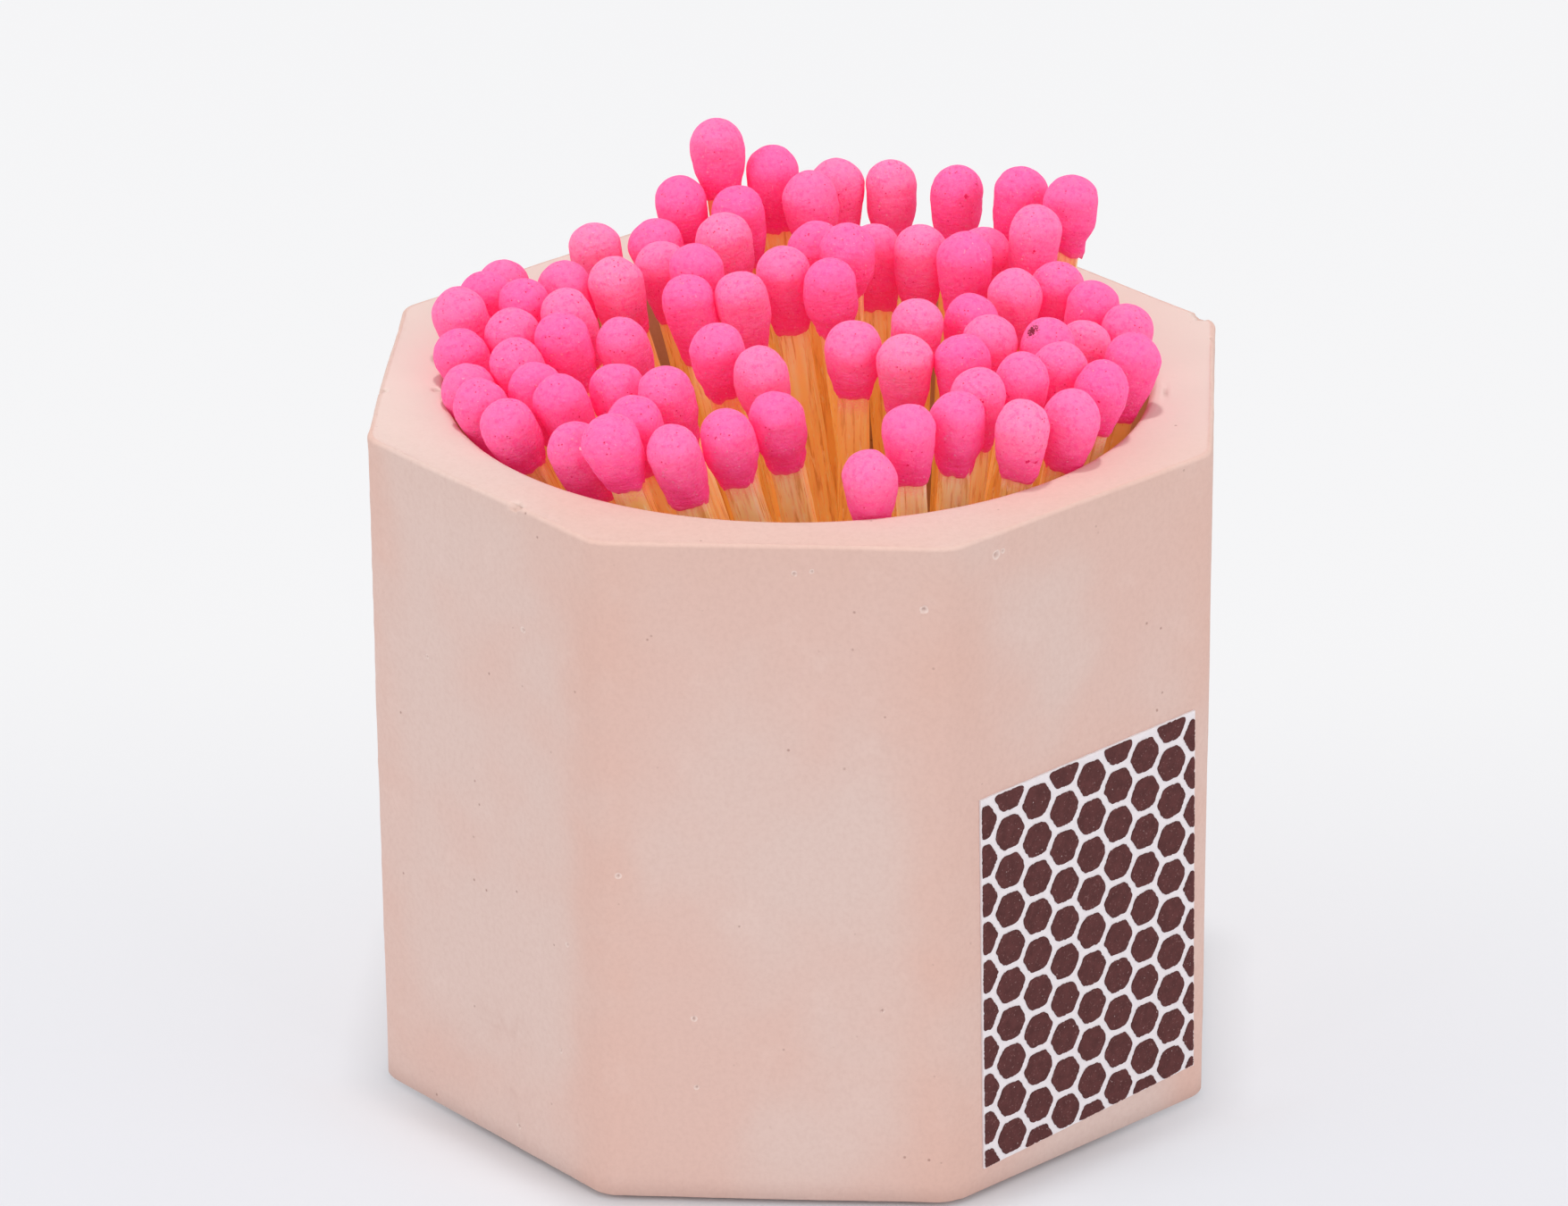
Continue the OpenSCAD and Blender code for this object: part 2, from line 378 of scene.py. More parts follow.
def concrete_finish(look):
    """Pigmented cast concrete: cloudy pink and greyer patches, a pinker band along the upright edges, a rim
    painted paler by light at the sides and back, fine sand grain, pinholes, bubbles, chips and rim holes
    darkened with painted shade, pale rings round the bubbles and a few smudges."""
    made = Finish("pink_cast_concrete")
    place = made.object_place
    leftward = made.add("ShaderNodeSeparateXYZ", {"Vector": place}).outputs["X"]
    cloud = made.plus(made.noise(place, 55, 3.0, 0.5), made.spread(leftward, -0.008, -0.022, 0.0, 0.13))
    cloud = made.spread(cloud, 0.38, 0.66)
    body = made.blend(cloud, full(look.concrete), full(look.concrete_grey))
    patchy = made.spread(made.noise(place, 90), 0.3, 0.7, 0.25, 1.0)
    band = made.times(made.reading("edge_near"), patchy)
    body = made.blend(band, body, full(look.concrete_pink))
    milk = made.spread(made.noise(place, 260, 4.0, 0.6), 0.55, 0.8, 0.0, 0.18)
    body = made.blend(milk, body, CONCRETE_MILK)
    sand = made.noise(place, 2600, 4.0, 0.7)
    body = made.blend(made.spread(sand, 0.35, 0.75, 0.0, 0.16), body, SAND_SHADE)
    # Painted light: the rim paler at the sides and back, where the matches do not shade it as they do at the
    # front
    body = made.blend(made.reading("rubbed"), body, full(look.concrete_rim_light))
    smudge = made.times(made.reading("smudge"), made.spread(made.noise(place, 700, 3.0), 0.35, 0.7))
    body = made.blend(smudge, body, SMUDGED)
    # Pinholes: dark specks of painted shade, also dented in the bumps
    keep = made.spread(made.noise(place, 330, 1.0), 0.60, 0.66)
    speck = made.times(made.spread(made.spots(place, 900), 0.13, 0.05), keep)
    body = made.blend(made.times(speck, 0.6), body, PINHOLE_SHADE)
    body = with_bubble_rings(made, body, look)
    # Painted shade in the bubbles, chips and rim holes
    body = made.blend(made.reading("hollow"), body, PAINTED_HOLLOW_SHADE)
    made.surface({
        "Base Color": body,
        "Roughness": made.spread(sand, 0.2, 0.8, 0.72, 0.9),
        "Specular IOR Level": 0.28,
    })
    grit = made.plus(made.times(sand, 0.5), made.noise(place, 700, 3.0))
    grit = made.less(grit, speck)
    made.relief(grit, 0.35, 0.00006)
    return made.material


def wood_finish(look):
    """Waxed aspen splint: long fibres, darker pores and paler streaks drawn out along the grain, a warmer
    tone on some splints, painted shade that turns each of them amber further down, a painted glow, and pink
    dust just below the head."""
    made = Finish("waxed_aspen")
    grain_place = made.reading("grain_place", vector=True)
    fibre = made.noise(made.pressed(grain_place, 3.2, 0.22), 1.0, 4.0, 0.6)
    broad = made.noise(made.pressed(grain_place, 0.9, 0.06), 1.0, 2.0, 0.5)
    body = made.blend(made.spread(broad, 0.3, 0.7), full(look.wood_pale), full(look.wood))
    # Amber: a random tone for each splint, and painted shade further down
    soaked = made.plus(made.reading("soaked"), made.times(broad, 0.35))
    body = made.blend(made.spread(soaked, 0.25, 1.1), body, full(look.wood_amber))
    body = made.blend(made.spread(fibre, 0.46, 0.70, 0.0, 0.8), body, full(look.wood_dark))
    pores = made.spots(made.pressed(grain_place, 5.0, 0.5), 1.0)
    body = made.blend(made.spread(pores, 0.18, 0.05, 0.0, 0.5), body, WOOD_PORE)
    pale = made.spread(made.noise(made.pressed(grain_place, 4.0, 0.8), 1.0, 3.0), 0.56, 0.72, 0.0, 0.7)
    body = made.blend(pale, body, full(look.wood_pale))
    grains = made.spread(made.noise(made.pressed(grain_place, 7.0, 40.0), 1.0, 3.0, 0.6), 0.42, 0.6)
    body = made.blend(made.times(made.reading("dusted"), grains), body, full(look.dust_on_wood))
    made.surface({
        "Base Color": body,
        "Roughness": made.spread(fibre, 0.3, 0.7, 0.32, 0.55),
        "Specular IOR Level": 0.5,
        "Subsurface Weight": 0.5,
        "Subsurface Radius": (1.0, 0.45, 0.15),
        "Subsurface Scale": 0.0026,
        # Painted glow: emission that brightens the wood in the shaded well
        "Emission Color": full(look.wood_painted_glow),
        "Emission Strength": 0.115,
    })
    made.relief(made.plus(fibre, made.times(pores, 0.4)), 0.5, 0.00007)
    return made.material


# Place and radius in mm and kind of the single marks on heads that the photograph shows
HEAD_MARKS = (
    (16.95, -4.61, 57.27, 0.56, "scorch"),
    (-14.10, -18.51, 53.50, 0.13, "crumb"),
    (17.12, -18.95, 53.27, 0.20, "pit_shade"),
    (17.73, -18.58, 53.06, 0.16, "pit_shade"),
    (8.87, -20.94, 53.70, 0.13, "pit_shade"),
    (16.72, 8.99, 57.89, 0.18, "pit_shade"),
    (11.32, 19.13, 58.18, 0.20, "pit_shade"),
    (13.86, -15.18, 56.14, 0.10, "pit_shade"),
    (21.91, -11.88, 54.91, 0.11, "pit_shade"),
    (-21.38, -0.84, 55.73, 0.12, "pit_shade"),
    (-16.40, 1.42, 56.99, 0.10, "pit_shade"),
    (0.07, 12.20, 57.73, 0.10, "pit_shade"),
)


def with_head_marks(made, body, ragged):
    """The heads' colour with the single marks on it, the pits darkened with painted shade."""
    for x, y, z, radius, kind in HEAD_MARKS:
        share = made.mark(made.object_place, (x * MM, y * MM, z * MM), radius, MARK_EDGE, ragged)
        body = made.blend(share, body, HEAD_MARK[kind])
    return body


def head_finish(look):
    """Dried match compound: hot pink, lighter on some heads and deeper towards the lower edge with painted
    shade, drier and wrinkled below, with pores and pits darkened with painted shade, pale grains, fine
    scratches, single marks, a painted glow and a thin powdery lower edge."""
    made = Finish("pink_match_compound")
    place = made.reading("head_place", vector=True)
    skirt = made.reading("skirt")
    body = made.blend(made.reading("tone"), full(look.head), full(look.head_light))
    cloud = made.noise(place, 0.9, 3.0)
    # Painted shade: deeper pink towards the lower edge, which turns down away from the light
    low = made.spread(made.plus(skirt, made.times(cloud, 0.5)), 0.6, 1.3, 0.0, 0.7)
    body = made.blend(low, body, full(look.head_deep))
    mottle = made.spread(made.noise(place, 2.8, 5.0, 0.7), 0.46, 0.70, 0.0, 0.55)
    body = made.blend(mottle, body, full(look.head_deep))
    dry = made.spread(skirt, 0.2, 0.85, 0.45, 1.0)
    dust = made.spread(made.noise(place, 6.0, 4.0, 0.7), 0.54, 0.70, 0.0, 0.45)
    body = made.blend(made.times(dust, dry), body, full(look.head_dust))
    keep = made.spread(made.noise(place, 0.8, 2.0), 0.50, 0.64)
    torn = made.times(made.noise(place, 9.0, 3.0, 0.6), 0.5)
    grain = made.spread(made.plus(made.spots(place, 1.9), torn), 0.47, 0.34)
    grain = made.times(grain, keep)
    body = made.blend(made.times(grain, 0.5), body, HEAD_GRAIN)
    bare = made.spread(made.noise(made.moved(place, 5.3), 0.7, 2.0), 0.52, 0.64)
    scratch = made.spread(made.noise(made.pressed(place, 7.0, 0.9), 1.0, 2.0, 0.5), 0.66, 0.74)
    scratch = made.times(scratch, bare)
    body = made.blend(made.times(scratch, 0.6), body, HEAD_SCRATCH)
    # Pores: dark specks of painted shade, also dented in the bumps
    seldom = made.spread(made.noise(made.moved(place, 7.7), 0.9, 2.0), 0.46, 0.56)
    pore = made.times(made.spread(made.spots(made.moved(place, 3.1), 2.2), 0.17, 0.07), seldom)
    body = made.blend(made.times(pore, 0.8), body, HEAD_PORE_SHADE)
    thin = made.plus(skirt, made.times(made.noise(place, 3.0, 4.0, 0.65), 0.16))
    body = made.blend(made.spread(thin, 1.0, 1.09, 0.0, 0.75), body, full(look.dust_on_wood))
    body = with_head_marks(made, body, made.noise(place, 6.5, 3.0, 0.75))
    fine = made.noise(place, 5.0, 5.0, 0.7)
    made.surface({
        "Base Color": body,
        "Roughness": made.spread(fine, 0.3, 0.7, 0.7, 0.88),
        "Specular IOR Level": 0.16,
        "Subsurface Weight": 0.35,
        "Subsurface Radius": (1.0, 0.12, 0.3),
        "Subsurface Scale": 0.0008,
        # Painted glow: emission that lifts the heads' shaded sides to a brighter red
        "Emission Color": full(look.head_painted_glow),
        "Emission Strength": 0.22,
    })
    wrinkle = made.noise(made.pressed(place, 0.9, 4.2), 1.0, 3.0, 0.6)
    wrinkle = made.times(wrinkle, made.spread(skirt, 0.3, 0.9, 0.2, 1.5))
    dents = made.times(made.noise(place, 1.8, 3.0), 0.9)
    height = made.plus(made.times(fine, dry), dents)
    height = made.plus(height, wrinkle)
    height = made.less(made.plus(height, made.times(grain, 0.5)), pore)
    made.relief(height, 0.9, 0.00021)
    return made.material


def paper_finish(look):
    """Uncoated white paper with faint fibres."""
    made = Finish("label_paper")
    place = made.object_place
    fibre = made.noise(place, 2400, 4.0, 0.65)
    body = made.blend(made.spread(fibre, 0.35, 0.75, 0.0, 0.5), full(look.paper), full(look.paper_shade))
    made.surface({
        "Base Color": body,
        "Roughness": made.spread(fibre, 0.3, 0.7, 0.6, 0.78),
        "Specular IOR Level": 0.35,
    })
    made.relief(fibre, 0.3, 0.00002)
    return made.material


def striker_finish(look):
    """Printed striking surface: dark maroon, mottled, gritty with glass grains, some of them pale with
    painted glints.
    """
    made = Finish("striker_print")
    place = made.object_place
    mottle = made.spread(made.noise(place, 1500, 4.0, 0.6), 0.3, 0.72)
    body = made.blend(mottle, full(look.print), full(look.print_light))
    grit = made.spread(made.noise(place, 5200, 2.0), 0.62, 0.74, 0.0, 0.55)
    body = made.blend(grit, body, PRINT_GRIT)
    # Glass grains: their pale colour with painted glints
    keep = made.spread(made.noise(place, 900, 1.0), 0.58, 0.66)
    glint = made.times(made.spread(made.spots(place, 2300), 0.14, 0.06), keep)
    body = made.blend(made.times(glint, 0.8), body, PRINT_GLASS_GLINT)
    made.surface({
        "Base Color": body,
        "Roughness": made.spread(mottle, 0.0, 1.0, 0.6, 0.8),
        "Specular IOR Level": 0.18,
    })
    made.relief(made.plus(made.noise(place, 3000, 4.0, 0.7), glint), 0.5, 0.00004)
    return made.material


# The cup


# Where rows and columns of faces cross a small hole, in shares of its radius
ROUND_A_HOLE = np.array([-1.15, -0.6, 0, 0.6, 1.15])
# Least step between rows or columns, and above which height the label's flat is uneven, in mm
FINEST_STEP = 0.07
ABOVE_LABEL = 33
# Distance from the axis of the rows of faces under the cup and on the floor of its bore, in mm
UNDERSIDE_ROWS = (2.0, 8.0, 15.0, 20.0, 24.0, 26.5, 28.0)
WELL_ROWS = (22.0, 18.0, 13.0, 8.0, 3.0)
# The foot from where it stands to the flat, in shares of how far it reaches in and up
UNDERCUT = ((1.0, 0.0), (0.86, 0.42), (0.55, 0.70), (0.22, 0.84), (0.09, 0.87), (0.03, 0.91), (0.0, 1.0))
# Depth and size in mm and seed of the unevenness of the flats, the rim and the bore
FLAT_WAVES = ((0.035, 21.0, 5), (0.012, 1.7, 6))
RIM_WAVES = ((0.02, 14.0, 8),)
BORE_WAVES = ((0.03, 9.0, 9),)

# Flat number, place along the flat, height, radius and depth of the holes left by bubbles, in mm
BUBBLES = (
    (7, 4.7, 42.2, 0.22, 0.16), (7, 2.9, 2.2, 0.20, 0.18), (7, 8.8, 19.1, 0.17, 0.13),
    (7, 7.9, 10.3, 0.15, 0.12), (7, -6.1, 36.5, 0.15, 0.12), (0, -11.0, 25.9, 0.20, 0.16),
    (0, 10.4, 46.8, 0.26, 0.20), (0, -5.8, 14.8, 0.19, 0.17), (0, 7.5, 15.7, 0.17, 0.14),
    (0, -5.7, 9.3, 0.17, 0.15), (0, 1.5, 49.3, 0.20, 0.10), (0, 2.7, 49.5, 0.16, 0.08),
    (1, -8.4, 49.8, 0.30, 0.26), (1, -7.8, 49.9, 0.16, 0.14), (2, -4.0, 33.0, 0.26, 0.22),
    (2, 6.2, 12.5, 0.22, 0.18), (3, -7.4, 41.5, 0.28, 0.22), (3, 3.8, 22.0, 0.20, 0.16),
    (4, 0.9, 36.8, 0.24, 0.20), (4, -8.1, 9.6, 0.20, 0.16), (5, 5.6, 28.4, 0.24, 0.20),
    (5, -3.3, 45.1, 0.18, 0.14), (6, 7.7, 17.9, 0.22, 0.18), (6, -6.0, 38.2, 0.20, 0.16),
)
# The same without the height for chips along the outer edge of the rim and of the foot
RIM_CHIPS = (
    (6, 3.7, 0.50, 0.30), (7, 3.9, 0.75, 0.32), (3, -11.3, 0.85, 0.50), (5, 4.4, 0.50, 0.30),
    (2, 8.8, 0.35, 0.20),
)
FOOT_CHIPS = ((7, 5.8, 0.60, 0.30), (0, -12.0, 0.45, 0.22), (2, -7.0, 0.50, 0.25), (4, 3.0, 0.60, 0.30))
# How far a chip runs along the height for each step inwards
CHIP_SLANT = 0.8
# Places in the plan, radius and depth of holes in the top of the rim
RIM_HOLES = (
    (-25.9, -3.3, 0.28, 0.26), (26.5, -1.3, 0.20, 0.16), (22.5, 16.8, 0.22, 0.18), (-9.8, 26.6, 0.22, 0.18),
)
# Flat number, place, height, half width, half height and strength of the smudges
SMUDGES = (
    (7, 2.4, 5.0, 1.5, 0.9, 0.40), (7, 3.0, 4.6, 0.4, 0.3, 0.50), (7, 1.3, 10.0, 2.6, 1.2, 0.22),
    (7, -3.1, 6.5, 3.4, 0.9, 0.14), (0, -5.6, 8.2, 0.5, 0.4, 0.30), (4, 3.0, 14.0, 2.2, 1.2, 0.30),
)


def on_lattice(groups, low, high):
    """All places between low and high, no two closer than one step, with both ends kept."""
    places = np.unique(np.round(np.concatenate(groups) / FINEST_STEP)) * FINEST_STEP
    places = places[(places > low + FINEST_STEP) & (places < high - FINEST_STEP)]
    return np.concatenate([[low], places, [high]])


def octagon_columns(look, spots):
    """Outline points round the octagon as flat number, place along the flat, share of the way round the
    corner, direction of the surface and place in the plan. A flat is straight, and a corner is an arc about
    the corner of a smaller octagon. Columns stand closer together at the given places along a flat."""
    half = look.width / MM / 2
    bend = look.edge_round / MM
    reach = (half - bend) * math.tan(FLAT_TURN / 2)
    flats, places, turns = [], [], []
    for k in range(FLATS):
        along = np.linspace(-reach, reach, look.flat_columns)
        extra = [s + ROUND_A_HOLE * r for flat, s, r in spots if flat == k]
        along = on_lattice([along, *extra], -reach, reach)
        arc = np.linspace(0, 1, look.edge_columns + 2)[1:-1]
        flats.append(np.full(len(along) + len(arc), k))
        places.append(np.concatenate([along, np.full(len(arc), reach)]))
        turns.append(np.concatenate([np.zeros(len(along)), arc]))
    flat, along, arc = map(np.concatenate, (flats, places, turns))
    turn = flat * FLAT_TURN - FULL_TURN / 4
    out = np.stack([np.cos(turn), np.sin(turn)], -1)
    way = np.stack([-np.sin(turn), np.cos(turn)], -1)
    facing = turn + arc * FLAT_TURN
    facing = np.stack([np.cos(facing), np.sin(facing)], -1)
    plan = out * (half - bend) + way * along[:, None] + facing * bend
    return {"flat": flat, "along": along, "arc": arc, "facing": facing, "plan": plan, "reach": reach}


def cup_rows(look):
    """Rows of the cup from the middle of the underside, round the foot, up the flats, over the rim and down
    the bore to the middle of its floor: step inwards from the flats, share of the way to the round of the
    bore, radius of the bore at that row, and height."""
    tall, foot, lip, rim, mouth, well = (
        v / MM
        for v in (look.height, look.foot_in, look.foot_up, look.rim_round, look.mouth_round, look.well_round)
    )
    bore = look.width / MM / 2 - look.wall / MM
    floor = look.floor / MM
    quarter = np.linspace(0, 1, 7) * FULL_TURN / 4
    rows = [(look.width / MM / 2 - s, 0, bore, 0) for s in UNDERSIDE_ROWS]
    rows += [(foot * far_in, 0, bore, lip * up) for far_in, up in UNDERCUT]
    extra = [z + ROUND_A_HOLE * r for _, _, z, r, _ in BUBBLES]
    heights = [np.linspace(lip, tall - rim, look.side_rows), tall - rim - np.geomspace(0.12, 1.2, 5), *extra]
    rows += [(0, 0, bore, z) for z in on_lattice(heights, lip, tall - rim)[1:-1]]
    rows += [(rim * (1 - math.cos(a)), 0, bore, tall - rim * (1 - math.sin(a))) for a in quarter]
    rows += [(rim, s, bore + mouth, tall) for s in np.linspace(0, 1, 22)[1:]]
    rows += [
        (rim, 1, bore + mouth * (1 - math.sin(a)), tall - mouth * (1 - math.cos(a))) for a in quarter[1:]
    ]
    rows += [(rim, 1, bore, z) for z in np.linspace(tall - mouth, floor + well, 26)[1:]]
    rows += [(rim, 1, bore - well * (1 - math.cos(a)), floor + well * (1 - math.sin(a))) for a in quarter[1:]]
    rows += [(rim, 1, r, floor) for r in WELL_ROWS]
    return np.array(rows, float).T


def plain_casting(look, spots):
    """The casting before its marks, as arrays of rows and columns. A point is the outline point less its step
    inwards along the normal, blended towards the same direction on the bore's circle. Under the cup the
    outline shrinks instead."""
    ring = octagon_columns(look, spots)
    step, share, bore, height = (row[:, None] for row in cup_rows(look))
    tall = look.height / MM
    under = step > 2 * look.foot_in / MM
    plan = ring["plan"] - step[..., None] * ring["facing"]
    plan = np.where(under[..., None], ring["plan"] * (1 - step[..., None] / (look.width / MM / 2)), plan)
    plan = plan + (unit(ring["plan"]) * bore[..., None] - plan) * share[..., None]
    shape = plan.shape[:2] + (1,)
    level = np.zeros(shape)
    return ring | {
        "height": height,
        "place": np.concatenate([plan, np.broadcast_to(height[..., None], shape)], -1),
        "normal": np.concatenate([np.broadcast_to(ring["facing"], plan.shape), level], -1),
        "inward": np.concatenate([np.broadcast_to(-unit(ring["plan"]), plan.shape), level], -1),
        "outer": share < 0.5,
        "outside": (share == 0) & ~under,
        "on_rim": smooth(0.0, 0.05, share) * (height > tall - 0.05),
        "bored": (share == 1) * (height < tall - 1) * (height > look.floor / MM + 2),
        "sunk": np.zeros(plan.shape[:2] + (3,)),
        "hollow": np.zeros(plan.shape[:2]),
    }


def uneven(place, kinds, most):
    """Depth that an uneven surface lies under the even one, from 0 to the most: the sum of each kind's depth
    times one and its waves."""
    return np.clip(sum(deep * (1 + waves(place, size, seed)) for deep, size, seed in kinds), 0, most)


def sink_bubbles(cast):
    """Each bubble sinks a round of its flat, all of it within 0.3 of its radius and none beyond 0.95."""
    for flat, along, high, radius, deep in BUBBLES:
        far = np.hypot(cast["along"] - along, cast["height"] - high) / radius
        here = (cast["flat"] == flat) * (cast["arc"] == 0) * cast["outside"]
        hit = (1 - smooth(0.3, 0.95, far)) * here
        cast["sunk"] -= cast["normal"] * (deep * hit)[..., None]
        # How far painted shade darkens the bubble
        cast["hollow"] = np.maximum(cast["hollow"], 0.5 * hit)


def sink_chips(cast, chips):
    """Each chip sinks a flattened ball of rough radius about its place on the edge, inwards and along the
    height."""
    for flat, along, radius, deep, high in chips:
        near = np.abs(cast["along"] - along)
        edge = np.argmin(np.where((cast["flat"] == flat) & (cast["arc"] == 0), near, FAR))
        centre = np.array([*cast["plan"][edge], high])
        rough = np.clip(1 + 0.25 * waves(cast["place"], 0.8, 40 + flat), 0.6, 1.4)
        far = np.linalg.norm((cast["place"] - centre) * [1, 1, 1.3], axis=-1) / (radius * rough)
        hit = 1 - smooth(0.35, 1.0, far)
        inwards = cast["normal"] + [0, 0, CHIP_SLANT if high else -CHIP_SLANT]
        cast["sunk"] -= inwards * (deep * hit)[..., None] * cast["outer"][..., None]
        # How far painted shade darkens the chip
        cast["hollow"] = np.maximum(cast["hollow"], 0.12 * hit)


def sink_rim_holes(cast):
    """Each hole sinks a round of the rim's top, all of it within half its radius."""
    for x, y, radius, deep in RIM_HOLES:
        far = np.hypot(cast["place"][..., 0] - x, cast["place"][..., 1] - y) / radius
        hit = (1 - smooth(0.5, 1.2, far)) * cast["on_rim"]
        cast["sunk"][..., 2] -= deep * hit
        # How far painted shade darkens the hole
        cast["hollow"] = np.maximum(cast["hollow"], 0.5 * hit)


def cast_marks(cast, look):
    """What the concrete's finish reads at each point: nearness to an upright edge or to the rim by a bell
    curve, painted shade in holes, smudges as flattened bells, and how far painted light makes the rim paler."""
    outside = cast["outside"]
    upright = np.exp(-(((cast["reach"] - np.abs(cast["along"])) / 2.4) ** 2)) * outside
    below_rim = np.exp(-((look.height / MM - cast["height"]) / 3.0) ** 2)
    smudge = np.zeros(cast["hollow"].shape)
    for flat, along, high, wide, tall, strong in SMUDGES:
        far = ((cast["along"] - along) / wide) ** 2 + ((cast["height"] - high) / tall) ** 2
        smudge = np.maximum(smudge, strong * np.exp(-far) * (cast["flat"] == flat) * outside)
    return {
        "edge_near": np.maximum(upright, 0.55 * below_rim * outside),
        "hollow": cast["hollow"],
        "smudge": smudge,
        # Painted light on the rim: none at the front, full towards the sides and back
        "rubbed": cast["on_rim"] * smooth(-26, 2, cast["place"][..., 1]),
    }


def cup_surface(look):
    """The whole casting as one closed tube, and what its finish reads: the plain casting, sunk a little by
    long waves, bubbles, chips and holes."""
    chips = [(*c, look.height / MM) for c in RIM_CHIPS] + [(*c, 0.0) for c in FOOT_CHIPS]
    spots = [(k, s, r) for k, s, _, r, _ in BUBBLES] + [(k, s, r) for k, s, r, _, _ in chips]
    cast = plain_casting(look, spots)
    bare = cast["outside"] * ~((cast["flat"] == 1) & (cast["height"] < ABOVE_LABEL))
    cast["sunk"] -= cast["normal"] * (uneven(cast["place"], FLAT_WAVES, 0.12) * bare)[..., None]
    sink_bubbles(cast)
    sink_chips(cast, chips)
    sink_rim_holes(cast)
    cast["sunk"][..., 2] -= uneven(cast["place"], RIM_WAVES, 0.06) * cast["on_rim"]
    cast["sunk"] -= cast["inward"] * (uneven(cast["place"], BORE_WAVES, 0.1) * cast["bored"])[..., None]
    return (cast["place"] + cast["sunk"])[None], {key: v[None] for key, v in cast_marks(cast, look).items()}


# Matches


def local_to_frame(m, local):
    """Frame places of points that are given sideways, facing and along each match: the foot plus each of
    the three times its axis."""
    foot, side, facing, along = (m[key][:, None, None, :] for key in ("foot", "side", "facing", "along"))
    return foot + side * local[..., 0:1] + facing * local[..., 1:2] + along * local[..., 2:3]


# Heights of the rows of faces up a splint, closer together at its cut foot and where it shows at the top
SPLINT_ROWS = np.array([
    0, 0.04, 0.3, 2, 5, 9, 14, 19, 24, 28, 31, 33, 35, 37, 38.5, 40, 41.5,
    43, 43.6, 44, 44.4, 45, 46, 47.5, 49,
])
# Depth in shares of the half width, size and step of the seed of a splint's grooves, and their limits
SPLINT_GROOVES = ((0.026, 1.0, 1), (0.014, 0.45, 2))
GROOVE_LIMITS = (-0.02, 0.07)
# Share of its width to which a splint is rounded at the cut foot, and how far it bows, in mm
CUT_END = 0.94
SPLINT_BOW = 0.07


def splint_surface(m, look, seed):
    """Every splint of a node. A point at height z and turn t is the foot plus z along the axis plus the
    half widths times the rounded square of t, less fine grooves that run with the grain, on a line that
    bows by a parabola between its ends."""
    rng = np.random.default_rng(seed)
    count = len(m["length"])
    one = (count, 1, 1)
    high = m["length"].reshape(one)
    z = (SPLINT_ROWS / SPLINT_ROWS[-1])[None, :, None] * high
    turn = round_turn(look.splint_columns)
    half = look.splint_width / MM / 2
    wide, deep = half * rng.uniform(0.94, 1.0, one), half * rng.uniform(0.93, 1.0, one)
    corner = rng.uniform(9, 16, one)
    yaw = rng.uniform(-0.07, 0.07, one)
    edge = square_round(turn, corner)
    own = 40.0 * np.arange(count).reshape(one)
    round_place = joined(2.6 * np.cos(turn) + own, 2.6 * np.sin(turn), 0.16 * z + own)
    groove = np.clip(layered(round_place, SPLINT_GROOVES, seed), *GROOVE_LIMITS)
    edge = edge * (1 + GROOVE_LIMITS[0] - groove)
    edge = edge * np.where(z < 0.02, CUT_END, 1.0)
    x, y = wide * edge * np.cos(turn), deep * edge * np.sin(turn)
    x, y = x * np.cos(yaw) - y * np.sin(yaw), x * np.sin(yaw) + y * np.cos(yaw)
    bow = SPLINT_BOW * 4 * (z / high) * (1 - z / high)
    bend_way = rng.uniform(0, FULL_TURN, one)
    x, y = x + bow * np.cos(bend_way), y + bow * np.sin(bend_way)
    place = local_to_frame(m, joined(x, y, z))
    grain_place = joined(x, y + own, z + 3 * own)
    from_tip = high - z
    # A random amber tone for each splint, and painted shade that grows amber further below the tip
    soaked = rng.uniform(0.0, 0.75, one) + 0.5 * smooth(3.0, 14.0, from_tip)
    below_head = from_tip - (look.head_length - look.head_cap) / MM
    dusted = 0.8 * smooth(1.1, 0.1, below_head)
    return place, {"grain_place": grain_place, "soaked": soaked, "dusted": dusted}


# Coat of a head over the splint's flats in mm, how square it is there, and by how many mm its edge thins
HEAD_COAT = 0.27
HEAD_SQUARE = 3.4
HEAD_THINNED = 0.17
# Least and most swell of a head, and how far it may swell past half the gap to the next head, in mm
HEAD_SWELL = (0.02, 0.20)
HEAD_PAST_HALF = 0.03
# Depth and size in mm and step of the seed of the waves in a head's lower edge and of the lumps on it
HEAD_RAGGED = ((0.11, 2.4, 3), (0.06, 0.7, 4))
HEAD_LUMPS = ((0.05, 3.4, 5), (0.015, 1.5, 6), (0.007, 0.7, 7))
# The two rows of the turned-in edge as share of its width and rise above it in mm
TURNED_IN = ((0.72, 0.12), (0.95, -0.03))


def head_rooms(look):
    """For every node of splints, how far each of its heads can swell before it meets half way with the
    nearest other head. A head is taken as a row of balls from its crown to its narrower lower end."""
    nodes = [node for node, _ in nodes_named("splint")]
    matches = [standing_splints(node) for node in nodes]
    m = {key: np.concatenate([one[key] for one in matches]) for key in ("foot", "along", "length")}
    crown, end, cap = (v / MM / 2 for v in (look.head_width, look.head_end_width, 2 * look.head_cap))
    down = np.linspace(0, look.head_length / MM - crown, 12)
    ball = crown + (end - crown) * down / down[-1]
    up = (m["length"] + cap - crown)[:, None] - down
    middle = m["foot"][:, None] + m["along"][:, None] * up[..., None]
    gap = np.linalg.norm(middle[:, None, :, None] - middle[None, :, None, :], axis=-1) - ball[:, None] - ball
    gap = gap.min((2, 3)) + np.where(np.eye(len(gap)) > 0, FAR, 0)
    rooms = np.split(gap.min(1) / 2, np.cumsum([len(one["length"]) for one in matches])[:-1])
    return dict(zip(nodes, rooms))


